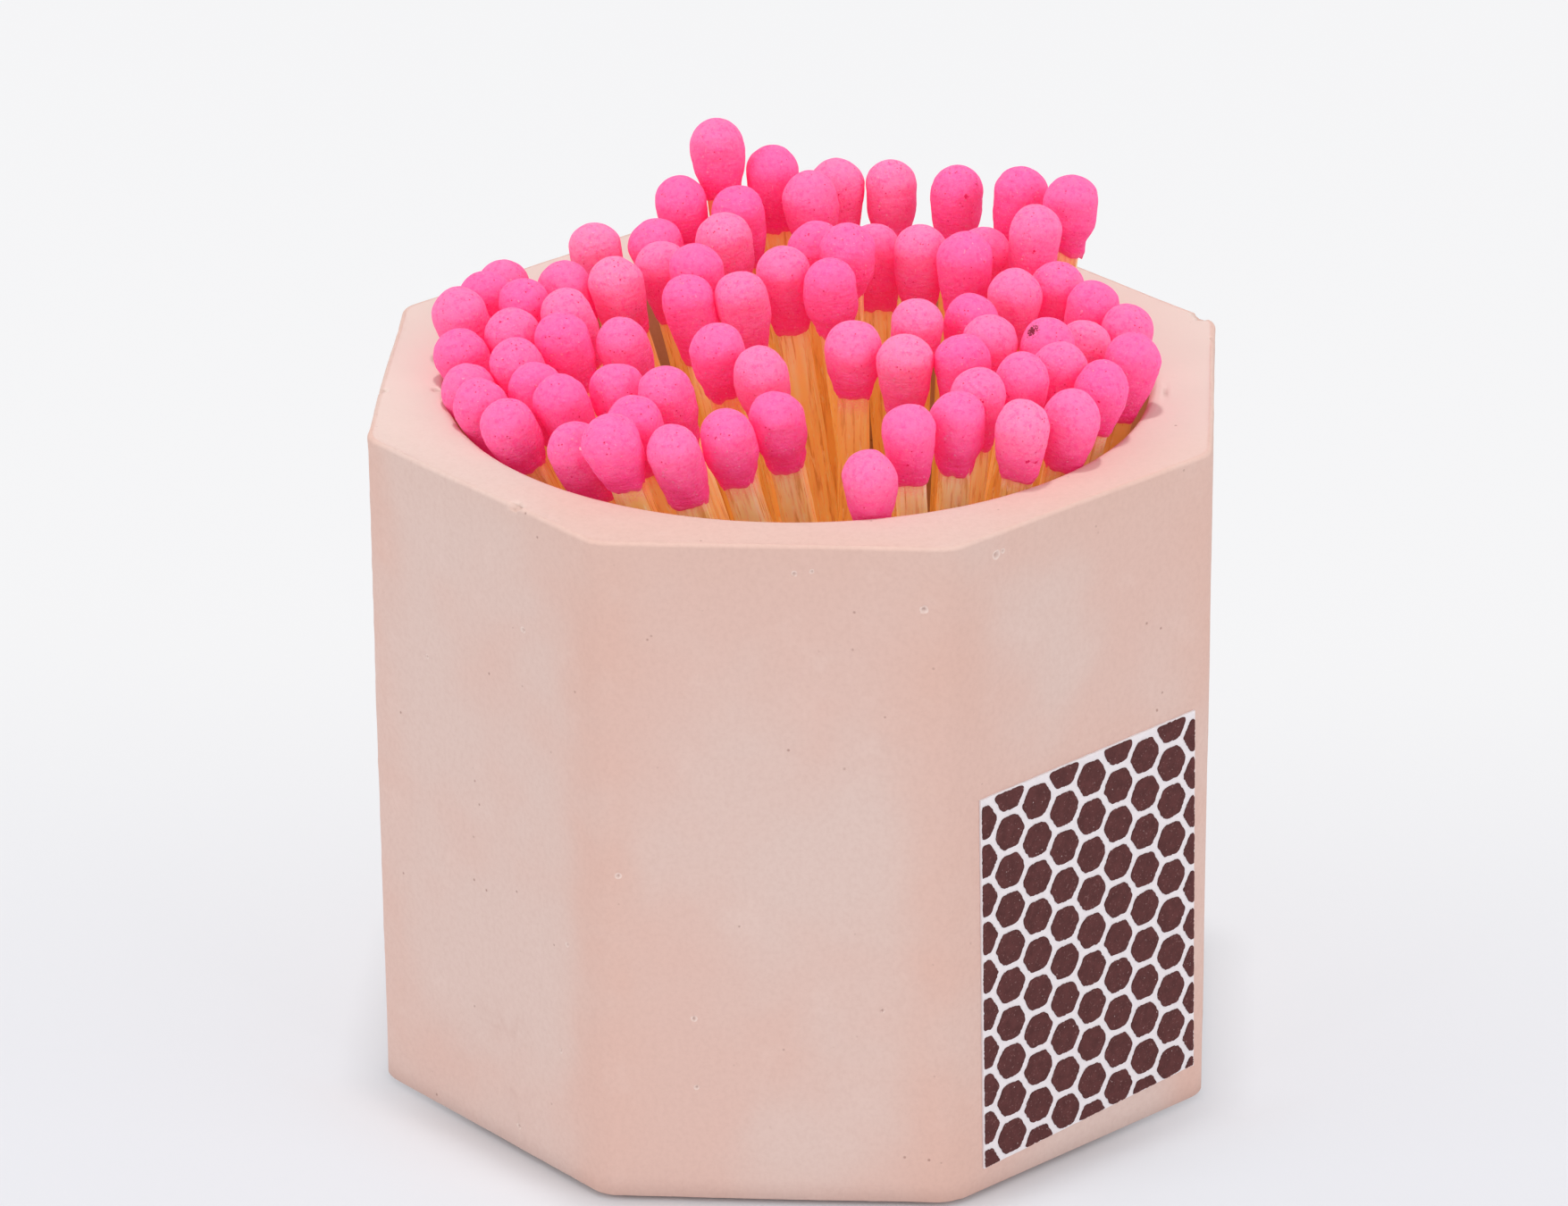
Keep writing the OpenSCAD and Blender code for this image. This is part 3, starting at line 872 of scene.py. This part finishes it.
def ragged_edge(turn, own, seed, rng):
    """How far the lower edge of each head reaches down by direction: waves of two sizes, and the slant of a
    head that was dipped askew."""
    spin = joined(1.3 * np.cos(turn) + own, 1.3 * np.sin(turn), own)
    ragged = layered(spin, HEAD_RAGGED, seed)
    return ragged + rng.uniform(0.05, 0.35, own.shape) * np.cos(turn - rng.uniform(0, FULL_TURN, own.shape))


def head_profile(fall, turn, radius, long, ragged, look):
    """Distance from a head's axis and depth below its tip. Fall runs from 0 to 1 down the crown, a quarter
    of a circle, and on to 2 at the lower edge. Below the crown the girth narrows by the power 1.5 of the
    way, turns from round to square, and thins at the end."""
    crown_angle = np.clip(fall, 0, 1) * FULL_TURN / 4
    lower = np.clip(fall - 1, 0, 1)
    below = radius * (1 - np.cos(crown_angle)) + lower * (long - radius + ragged * smooth(0.1, 1.0, lower))
    girth = radius * np.sin(crown_angle) + (look.head_end_width / MM / 2 - radius) * lower ** 1.5
    square = smooth(0.45, 1.0, lower)
    coated = look.splint_width / MM / 2 + HEAD_COAT
    across = girth * (1 - square) + square * coated * square_round(turn, HEAD_SQUARE)
    return across - HEAD_THINNED * smooth(0.86, 1.0, lower), below


def head_surface(m, room, look, seed):
    """Every head of a node: the profile turned about the match's axis, lifted and sunk by lumps and dents of
    three sizes, with two rows more that turn its lower edge in. A head swells as far as its share of the
    room round it."""
    rng = np.random.default_rng(seed)
    count = len(m["length"])
    one = (count, 1, 1)
    tip = (m["length"] + look.head_cap / MM).reshape(one)
    swell = np.minimum(rng.uniform(*HEAD_SWELL, one), room.reshape(one) + HEAD_PAST_HALF)
    radius = look.head_width / MM / 2 + swell
    long = look.head_length / MM * rng.uniform(0.94, 1.08, one)
    turn = round_turn(look.head_columns)
    own = 30.0 * np.arange(count).reshape(one)
    ragged = ragged_edge(turn, own, seed, rng)
    half = look.head_rows // 2
    fall = np.concatenate([np.linspace(2, 1, half), np.linspace(1, 0.04, half)[1:]])[None, :, None]
    across, below = head_profile(fall, turn, radius, long, ragged, look)
    x, y, z = across * np.cos(turn), across * np.sin(turn), tip - below
    own_place = joined(x + own, y, z)
    lumps = layered(own_place, HEAD_LUMPS, seed)
    lumpy = 1 + (lumps - 0.02) * smooth(0.0, 0.3, fall) / np.maximum(across, 0.4)
    local = joined(x * lumpy, y * lumpy, z)
    under = [local[:, :1] * [share, share, 1] + [0, 0, rise] for share, rise in TURNED_IN]
    local = np.concatenate([*under, local], 1)
    place = local_to_frame(m, local)
    head_place = local + np.concatenate([own, 2 * own, own], -1)[:, :, None, :]
    skirt = np.concatenate([np.full((1, 2, 1), 1.0), fall / 2], 1)
    return place, {"head_place": head_place, "skirt": skirt, "tone": rng.uniform(0, 1, one) ** 1.5}


# The striking label


# Depth and size in mm and seed of the waves in the edge of a printed patch, and their limits
PATCH_RAGGED = ((0.022, 0.5, 31), (0.016, 0.22, 32))
PATCH_LIMITS = (-0.03, 0.09)
# How far in a flat piece's inner row of faces lies and how wide its eased edge is, in mm
PAPER_INNER, PAPER_BEVEL = 2.0, 0.04
PATCH_INNER, PATCH_BEVEL = 0.25, 0.03


def to_flat(points):
    """Frame places as place along the label's flat, distance out from the axis, and height."""
    x, y, z = np.moveaxis(np.asarray(points, float), -1, 0)
    return np.stack([(x + y) / math.sqrt(2), (x - y) / math.sqrt(2), z], -1)


def from_flat(points):
    """The way back from the label's flat to the frame."""
    along, out, z = np.moveaxis(np.asarray(points, float), -1, 0)
    return np.stack([(along + out) / math.sqrt(2), (along - out) / math.sqrt(2), z], -1)


def sheet_rings(outline, inner, low, high, bevel):
    """Closed rows of a thin flat piece on the label's flat, seen from outside: the outline at its lower side,
    its upper side with the edge eased by a bevel, and a row further in."""
    middle = outline.mean(-2, keepdims=True)
    size = np.linalg.norm(outline - middle, axis=-1, keepdims=True)
    steps = ((0.0, low), (0.0, high - bevel), (bevel, high), (inner, high))
    rows = []
    for step, out in steps:
        line = middle + (outline - middle) * (1 - step / np.maximum(size, step * 1.2 + 1e-6))
        rows.append(np.stack([line[..., 0], np.full(line.shape[:-1], out), line[..., 1]], -1))
    return from_flat(np.stack(rows, -3))


def inner_side(corners):
    """Corners of a flat piece's side that lies on the cup, in order round their middle, and the middle."""
    base = corners[corners[:, 1] < corners[:, 1].mean()][:, [0, 2]]
    middle = base.mean(0)
    return base[np.argsort(np.arctan2(*(base - middle).T[::-1]))], middle


def label_outline():
    """The paper's edge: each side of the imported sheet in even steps, cut a little unevenly."""
    corners = to_flat(loose_parts("striker_paper")[0])
    base, middle = inner_side(corners)
    step = np.linspace(0, 1, 41)[:-1, None]
    line = np.concatenate([a + (b - a) * step for a, b in zip(base, np.roll(base, -1, 0))])
    uneven = waves(np.column_stack([line, line[:, :1] * 0]), 1.1, 21) * 0.012
    return line - unit(line - middle) * (0.015 + uneven[:, None]), corners[:, 1].min(), corners[:, 1].max()


def patch_outlines(look):
    """Outline of every printed patch. By direction from its middle the distance to the edge is the p-norm
    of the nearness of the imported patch's sides, which rounds the corners, less a ragged share."""
    turn = (np.arange(look.patch_columns) * FULL_TURN / look.patch_columns)[None]
    ray = np.stack([np.cos(turn), np.sin(turn)], -1)
    lines, levels = [], []
    for number, part in enumerate(loose_parts("striker_patches")):
        flat = to_flat(part)
        levels.append((flat[:, 1].min(), flat[:, 1].max()))
        base, middle = inner_side(flat)
        side = np.roll(base, -1, 0) - base
        normal = unit(np.stack([side[:, 1], -side[:, 0]], -1))
        away = ((base - middle) * normal).sum(-1)
        nearness = np.clip(ray[0] @ normal.T, 0, None) / np.maximum(away, 0.02)
        reach = (nearness ** look.patch_corner).sum(-1) ** (-1 / look.patch_corner)
        dots = np.column_stack([ray[0] * 1.1, np.full(len(ray[0]), 7.0 * number)])
        ragged = np.clip(layered(dots, PATCH_RAGGED), *PATCH_LIMITS)
        lines.append(middle + ray[0] * (reach - ragged)[:, None])
    return np.array(lines), min(a for a, _ in levels), max(b for _, b in levels)


# Settings


class MatchCupCast(bpy.types.PropertyGroup):
    """Sizes and colours of the concrete cup"""

    width: FloatProperty(
        name="Width", description="Across two opposite flats", default=0.06, unit="LENGTH", precision=4
    )
    height: FloatProperty(
        name="Height", description="Height of the casting", default=0.0514, unit="LENGTH", precision=4
    )
    wall: FloatProperty(
        name="Wall", description="Wall at the middle of a flat", default=0.0047, unit="LENGTH", precision=4
    )
    floor: FloatProperty(
        name="Floor", description="Floor under the matches", default=0.008, unit="LENGTH", precision=4
    )
    edge_round: FloatProperty(
        name="Upright edges", description="Rounding of the upright edges",
        default=0.0026, unit="LENGTH", precision=4
    )
    foot_in: FloatProperty(
        name="Foot", description="How far the gap under the foot reaches in",
        default=0.0016, unit="LENGTH", precision=4
    )
    foot_up: FloatProperty(
        name="Foot height", description="Height of the gap under the foot",
        default=0.00044, unit="LENGTH", precision=5
    )
    rim_round: FloatProperty(
        name="Rim", description="Rounding of the outside of the rim",
        default=0.00028, unit="LENGTH", precision=5
    )
    mouth_round: FloatProperty(
        name="Mouth", description="Rounding of the mouth of the bore",
        default=0.0008, unit="LENGTH", precision=4
    )
    well_round: FloatProperty(
        name="Well", description="Rounding at the bottom of the bore",
        default=0.001, unit="LENGTH", precision=4
    )
    flat_columns: IntProperty(name="Columns", description="Columns of faces across a flat", default=22)
    edge_columns: IntProperty(
        name="Edge columns", description="Columns of faces round an upright edge", default=7
    )
    side_rows: IntProperty(name="Rows", description="Rows of faces up a flat", default=30)
    concrete: FloatVectorProperty(
        name="Concrete", description="Main colour", subtype="COLOR", default=(0.735, 0.503, 0.437)
    )
    concrete_grey: FloatVectorProperty(
        name="Grey patches", description="Colour of the greyer patches", subtype="COLOR",
        default=(0.728, 0.552, 0.496)
    )
    # Painted light: the paler colour the rim takes at the sides and back
    concrete_rim_light: FloatVectorProperty(
        name="Painted_light rim", description="Colour of the paler rim at the sides and back", subtype="COLOR",
        default=(0.785, 0.618, 0.560)
    )
    concrete_pink: FloatVectorProperty(
        name="Pink edges", description="Colour along the upright edges", subtype="COLOR",
        default=(0.735, 0.482, 0.408)
    )


class MatchCupMatches(bpy.types.PropertyGroup):
    """Sizes and colours of the matches"""

    splint_width: FloatProperty(
        name="Splint", description="Side of the square splint", default=0.0023, unit="LENGTH", precision=4
    )
    head_width: FloatProperty(
        name="Head width", description="Widest part of a head", default=0.0038, unit="LENGTH", precision=4
    )
    head_length: FloatProperty(
        name="Head length", description="Length of a head", default=0.0060, unit="LENGTH", precision=4
    )
    head_end_width: FloatProperty(
        name="Lower end", description="Lower end of a head, across",
        default=0.0031, unit="LENGTH", precision=4
    )
    head_cap: FloatProperty(
        name="Cap", description="How far the splint stops short of the tip",
        default=0.0015, unit="LENGTH", precision=4
    )
    splint_columns: IntProperty(
        name="Splint columns", description="Columns of faces round a splint", default=32
    )
    head_columns: IntProperty(name="Head columns", description="Columns of faces round a head", default=52)
    head_rows: IntProperty(name="Head rows", description="Rows of faces up a head", default=36)
    head: FloatVectorProperty(
        name="Head", description="Main colour of the heads", subtype="COLOR", default=(0.99, 0.160, 0.412)
    )
    head_light: FloatVectorProperty(
        name="Light head", description="Colour of the lighter heads", subtype="COLOR",
        default=(0.99, 0.265, 0.470)
    )
    # Deeper pink of the mottle, and painted shade towards the lower edge
    head_deep: FloatVectorProperty(
        name="Deep head", description="Colour towards the lower edge", subtype="COLOR",
        default=(0.98, 0.038, 0.255)
    )
    head_dust: FloatVectorProperty(
        name="Dust", description="Colour of the dry grain", subtype="COLOR", default=(1.0, 0.44, 0.60)
    )
    # Painted glow, which brightens the heads where they lie in shade
    head_painted_glow: FloatVectorProperty(
        name="Glow", description="Light that the fluorescent pigment gives back", subtype="COLOR",
        default=(1.0, 0.012, 0.14)
    )
    wood: FloatVectorProperty(
        name="Wood", description="Main colour of the wood", subtype="COLOR", default=(1.0, 0.76, 0.40)
    )
    wood_pale: FloatVectorProperty(
        name="Pale wood", description="Colour of the paler wood", subtype="COLOR", default=(1.0, 0.90, 0.66)
    )
    # Also the colour of the painted shade further down each splint
    wood_amber: FloatVectorProperty(
        name="Amber wood", description="Colour of wax-soaked wood", subtype="COLOR",
        default=(0.97, 0.64, 0.22)
    )
    wood_dark: FloatVectorProperty(
        name="Dark grain", description="Colour of the darker grain", subtype="COLOR",
        default=(0.54, 0.235, 0.05)
    )
    # Painted glow, which brightens the wood where it lies in shade
    wood_painted_glow: FloatVectorProperty(
        name="Wax glow", description="Light that comes through the waxed wood", subtype="COLOR",
        default=(1.0, 0.45, 0.10)
    )
    dust_on_wood: FloatVectorProperty(
        name="Dusted wood", description="Colour of head dust on the wood", subtype="COLOR",
        default=(0.97, 0.22, 0.32)
    )


class MatchCupLabel(bpy.types.PropertyGroup):
    """Colours and edges of the striking label"""

    patch_columns: IntProperty(name="Patch columns", description="Points round a printed patch", default=64)
    patch_corner: FloatProperty(
        name="Patch corners", description="Sharpness of a patch's corners", default=11.0
    )
    paper: FloatVectorProperty(
        name="Paper", description="Colour of the paper", subtype="COLOR", default=(0.85, 0.795, 0.815)
    )
    paper_shade: FloatVectorProperty(
        name="Paper shade", description="Colour of the paper's fibres", subtype="COLOR",
        default=(0.74, 0.69, 0.715)
    )
    print: FloatVectorProperty(
        name="Print", description="Colour of the striking surface", subtype="COLOR",
        default=(0.080, 0.021, 0.020)
    )
    print_light: FloatVectorProperty(
        name="Light print", description="Colour of its worn grain", subtype="COLOR",
        default=(0.120, 0.038, 0.037)
    )


class MatchCupStage(bpy.types.PropertyGroup):
    """Camera, lamps and floor"""

    azimuth: FloatProperty(
        name="Azimuth", description="Camera's turn round the cup", default=math.radians(3.55), subtype="ANGLE"
    )
    elevation: FloatProperty(
        name="Elevation", description="Camera's height above the horizon",
        default=math.radians(25.07), subtype="ANGLE"
    )
    roll: FloatProperty(
        name="Roll", description="Camera's turn about its own line of sight",
        default=math.radians(-0.38), subtype="ANGLE"
    )
    distance: FloatProperty(
        name="Distance", description="Camera to the middle of the cup", default=0.5471, unit="LENGTH"
    )
    aim_height: FloatProperty(
        name="Aim", description="Height of the point that it looks at",
        default=0.025675, unit="LENGTH", precision=5
    )
    lens: FloatProperty(name="Lens", description="Focal length in mm for a 36 mm sensor", default=170.73)
    shift_x: FloatProperty(
        name="Shift across", description="Lens shift across", default=-0.01043, precision=5
    )
    shift_y: FloatProperty(name="Shift up", description="Lens shift up", default=0.0625, precision=5)
    world: FloatProperty(
        name="Surrounding light", description="Strength of the light from all round", default=0.605
    )
    key: FloatProperty(
        name="Lamp above", description="Strength of the small lamp right above the cup", default=2.0
    )
    sides: FloatProperty(name="Side lamps", description="Strength of the lamps at both sides", default=3.3)
    front: FloatProperty(name="Front lamp", description="Strength of the lamp above the camera", default=0.32)
    background: FloatVectorProperty(
        name="Background", description="Colour of the surroundings", subtype="COLOR",
        default=(0.92, 0.92, 0.93)
    )
    floor: FloatVectorProperty(
        name="Floor", description="Colour of the floor", subtype="COLOR", default=(0.745, 0.745, 0.775)
    )
    # Painted light: the floor's paler colour behind the cup
    floor_far: FloatVectorProperty(
        name="Far floor", description="Colour of the floor behind the cup", subtype="COLOR",
        default=(0.84, 0.84, 0.86)
    )
    floor_seen: FloatVectorProperty(
        name="Lit floor", description="Colour of the even light of the near floor", subtype="COLOR",
        default=(0.84, 0.85, 0.90)
    )
    floor_lit: FloatProperty(
        name="Even light", description="Share of the near floor's look that is its even light", default=0.5
    )
    floor_lit_far: FloatProperty(
        name="Far even light", description="What is added to it for the floor behind", default=0.4
    )


# Operators


# Name, place, place that it is turned to, size in metres and setting of the strength of each lamp
LAMPS = (
    ("lamp_above", (0.0, 0.0, 0.8), (0, 0, 0), 0.06, "key"),
    ("lamp_left", (-0.82, -0.55, 0.45), (0, 0, 0.03), 0.7, "sides"),
    ("lamp_right", (0.82, -0.55, 0.45), (0, 0, 0.03), 0.7, "sides"),
    ("lamp_front", (0.0, -0.95, 0.6), (0, 0, 0.03), 0.5, "front"),
)
# Half the side of the floor and the range of what the camera sees, in metres
FLOOR_REACH = 3.0
NEAREST, FARTHEST = 0.01, 50
# The sensor for which the lens is given, in mm
SENSOR_WIDTH = 36


def lamp(name, spot, aim, size, strength):
    """A square lamp of a size in metres and a strength in watts, at one place and turned to another."""
    data = bpy.data.lights.new(name, "AREA")
    data.shape = "SQUARE"
    data.size = size
    data.energy = strength
    made = bpy.data.objects.new(name, data)
    made.location = spot
    made.rotation_euler = (Vector(aim) - Vector(spot)).to_track_quat("-Z", "Y").to_euler()
    bpy.context.scene.collection.objects.link(made)


class MATCHCUP_OT_stage(bpy.types.Operator):
    """Pale floor, soft lamps, plain surroundings and the camera"""

    bl_idname = "matchcup.stage"
    bl_label = "Stage"

    def execute(self, context):
        look = context.scene.match_cup_stage
        scene = context.scene
        scene.view_settings.view_transform = "Standard"
        self.camera(scene, look)
        self.floor(look)
        self.surroundings(scene, look)
        for name, spot, aim, size, setting in LAMPS:
            lamp(name, spot, aim, size, getattr(look, setting))
        return {"FINISHED"}

    def camera(self, scene, look):
        """Camera on a sphere about the cup, turned to its middle and rolled about its line of sight."""
        a, e = look.azimuth, look.elevation
        back = Vector((math.sin(a) * math.cos(e), -math.cos(a) * math.cos(e), math.sin(e)))
        right = (-back).cross(Vector((0, 0, 1))).normalized()
        up = right.cross(-back)
        cos_roll, sin_roll = math.cos(look.roll), math.sin(look.roll)
        across = right * cos_roll + up * sin_roll
        upward = up * cos_roll - right * sin_roll
        data = bpy.data.cameras.new("photo_camera")
        data.sensor_width = SENSOR_WIDTH
        data.lens = look.lens
        data.shift_x, data.shift_y = look.shift_x, look.shift_y
        data.clip_start, data.clip_end = NEAREST, FARTHEST
        camera = bpy.data.objects.new("photo_camera", data)
        scene.collection.objects.link(camera)
        turn = Matrix((across, upward, back)).transposed().to_4x4()
        spot = Vector((0, 0, look.aim_height)) + back * look.distance
        camera.matrix_world = Matrix.Translation(spot) @ turn
        scene.camera = camera

    def floor(self, look):
        """One flat sheet, wide enough to fill the view."""
        mesh = bpy.data.meshes.new("floor")
        corners = [(x * FLOOR_REACH, y * FLOOR_REACH, 0) for x, y in ((-1, -1), (1, -1), (1, 1), (-1, 1))]
        mesh.from_pydata(corners, [], [(0, 1, 2, 3)])
        made = Finish("pale_floor")
        behind = made.add("ShaderNodeSeparateXYZ", {"Vector": made.object_place}).outputs["Y"]
        off = made.add("ShaderNodeVectorMath", {0: made.object_place}, operation="LENGTH").outputs["Value"]
        away = made.spread(behind, -0.03, 0.07)
        # Painted light: the floor's colour paler behind the cup
        made.surface({
            "Base Color": made.blend(away, full(look.floor), full(look.floor_far)),
            "Roughness": 0.9,
            "Specular IOR Level": 0.0,
        })
        even = made.blend(away, full(look.floor_seen), full(look.background))
        lit = made.add("ShaderNodeEmission", {"Color": even})
        clear = made.larger(made.spread(off, 0.030, 0.042), made.spread(behind, -0.022, -0.010))
        share = made.times(clear, look.floor_lit)
        share = made.plus(share, made.spread(behind, -0.02, 0.08, 0.0, look.floor_lit_far))
        seen = made.times(made.add("ShaderNodeLightPath").outputs["Is Camera Ray"], share)
        mixed = made.add("ShaderNodeMixShader", {0: seen, 1: made.shader.outputs[0], 2: lit.outputs[0]})
        made.put(made.tree.nodes["Material Output"].inputs["Surface"], mixed.outputs[0])
        mesh.materials.append(made.material)
        floor = bpy.data.objects.new("floor", mesh)
        bpy.context.scene.collection.objects.link(floor)

    def surroundings(self, scene, look):
        """The same plain light from everywhere; what the camera or a reflection sees is the background."""
        world = bpy.data.worlds.new("plain_surroundings")
        world.use_nodes = True
        made = Nodes(world.node_tree)
        made.tree.nodes.clear()
        ray = made.add("ShaderNodeLightPath").outputs
        seen = made.larger(ray["Is Camera Ray"], ray["Is Glossy Ray"])
        seen = made.larger(seen, ray["Is Transmission Ray"])
        light = made.add("ShaderNodeBackground", {"Color": full(WHITE), "Strength": look.world})
        shown = made.add("ShaderNodeBackground", {"Color": full(look.background), "Strength": 1.0})
        mixed = made.add("ShaderNodeMixShader", {0: seen, 1: light.outputs[0], 2: shown.outputs[0]})
        made.add("ShaderNodeOutputWorld", {"Surface": mixed.outputs[0]})
        scene.world = world


class MATCHCUP_OT_cup(bpy.types.Operator):
    """The octagonal casting with its bore, bubbles, chips and smudges"""

    bl_idname = "matchcup.cup"
    bl_label = "Concrete cup"

    def execute(self, context):
        look = context.scene.match_cup_cast
        rings, attributes = cup_surface(look)
        cup = closed_tubes("cup_casting", rings, attributes)
        dress(cup, concrete_finish(look), "cup", "concrete", "cup")
        return {"FINISHED"}


class MATCHCUP_OT_splints(bpy.types.Operator):
    """The wooden splints of all matches"""

    bl_idname = "matchcup.splints"
    bl_label = "Splints"

    def execute(self, context):
        look = context.scene.match_cup_matches
        wood = wood_finish(look)
        for number, (node, body) in enumerate(nodes_named("splint")):
            rings, attributes = splint_surface(standing_splints(node), look, 100 + 10 * number)
            piece = closed_tubes(node + "_wood", rings, attributes)
            dress(piece, wood, body, "match_wood", node)
        return {"FINISHED"}


class MATCHCUP_OT_heads(bpy.types.Operator):
    """The dipped heads of all matches"""

    bl_idname = "matchcup.heads"
    bl_label = "Heads"

    def execute(self, context):
        look = context.scene.match_cup_matches
        compound = head_finish(look)
        rooms = head_rooms(look)
        for number, (node, body) in enumerate(nodes_named("splint")):
            rings, attributes = head_surface(standing_splints(node), rooms[node], look, 1000 + 10 * number)
            head = node.replace("splint", "head")
            piece = closed_tubes(head + "_dip", rings, attributes)
            dress(piece, compound, body, "match_head", head)
        return {"FINISHED"}


class MATCHCUP_OT_paper(bpy.types.Operator):
    """The paper sheet of the striking label"""

    bl_idname = "matchcup.paper"
    bl_label = "Label paper"

    def execute(self, context):
        look = context.scene.match_cup_label
        line, low, high = label_outline()
        rings = sheet_rings(line[None], PAPER_INNER, low, high, PAPER_BEVEL)
        paper = closed_tubes("label_sheet", rings, {}, False)
        dress(paper, paper_finish(look), "cup", "paper", "striker_paper")
        return {"FINISHED"}


class MATCHCUP_OT_print(bpy.types.Operator):
    """The patches of striking surface printed on the paper"""

    bl_idname = "matchcup.print"
    bl_label = "Striker print"

    def execute(self, context):
        look = context.scene.match_cup_label
        lines, low, high = patch_outlines(look)
        rings = sheet_rings(lines, PATCH_INNER, low, high, PATCH_BEVEL)
        patches = closed_tubes("striker_print", rings, {}, False)
        dress(patches, striker_finish(look), "cup", "striker", "striker_patches")
        return {"FINISHED"}


class MATCHCUP_PT_panel(bpy.types.Panel):
    """Buttons for the pieces of the match cup"""

    bl_idname = "MATCHCUP_PT_panel"
    bl_label = "Match Cup"
    bl_space_type = "VIEW_3D"
    bl_region_type = "UI"
    bl_category = "Match Cup"

    def draw(self, context):
        for step in STEPS:
            self.layout.operator(step.bl_idname)


STEPS = (
    MATCHCUP_OT_stage, MATCHCUP_OT_cup, MATCHCUP_OT_splints, MATCHCUP_OT_heads, MATCHCUP_OT_paper,
    MATCHCUP_OT_print,
)
SETTINGS = {
    "match_cup_cast": MatchCupCast,
    "match_cup_matches": MatchCupMatches,
    "match_cup_label": MatchCupLabel,
    "match_cup_stage": MatchCupStage,
}


def register():
    """Adds the settings, the operators and the panel."""
    for group in (*SETTINGS.values(), *STEPS, MATCHCUP_PT_panel):
        bpy.utils.register_class(group)
    for name, group in SETTINGS.items():
        setattr(bpy.types.Scene, name, PointerProperty(type=group))


def unregister():
    """Takes them away again."""
    for name in SETTINGS:
        delattr(bpy.types.Scene, name)
    for group in (MATCHCUP_PT_panel, *reversed(STEPS), *SETTINGS.values()):
        bpy.utils.unregister_class(group)


def main():
    """Makes the stage and every piece."""
    register()
    for step in STEPS:
        getattr(bpy.ops.matchcup, step.bl_idname.split(".")[1])()


if __name__ == "__main__":
    main()
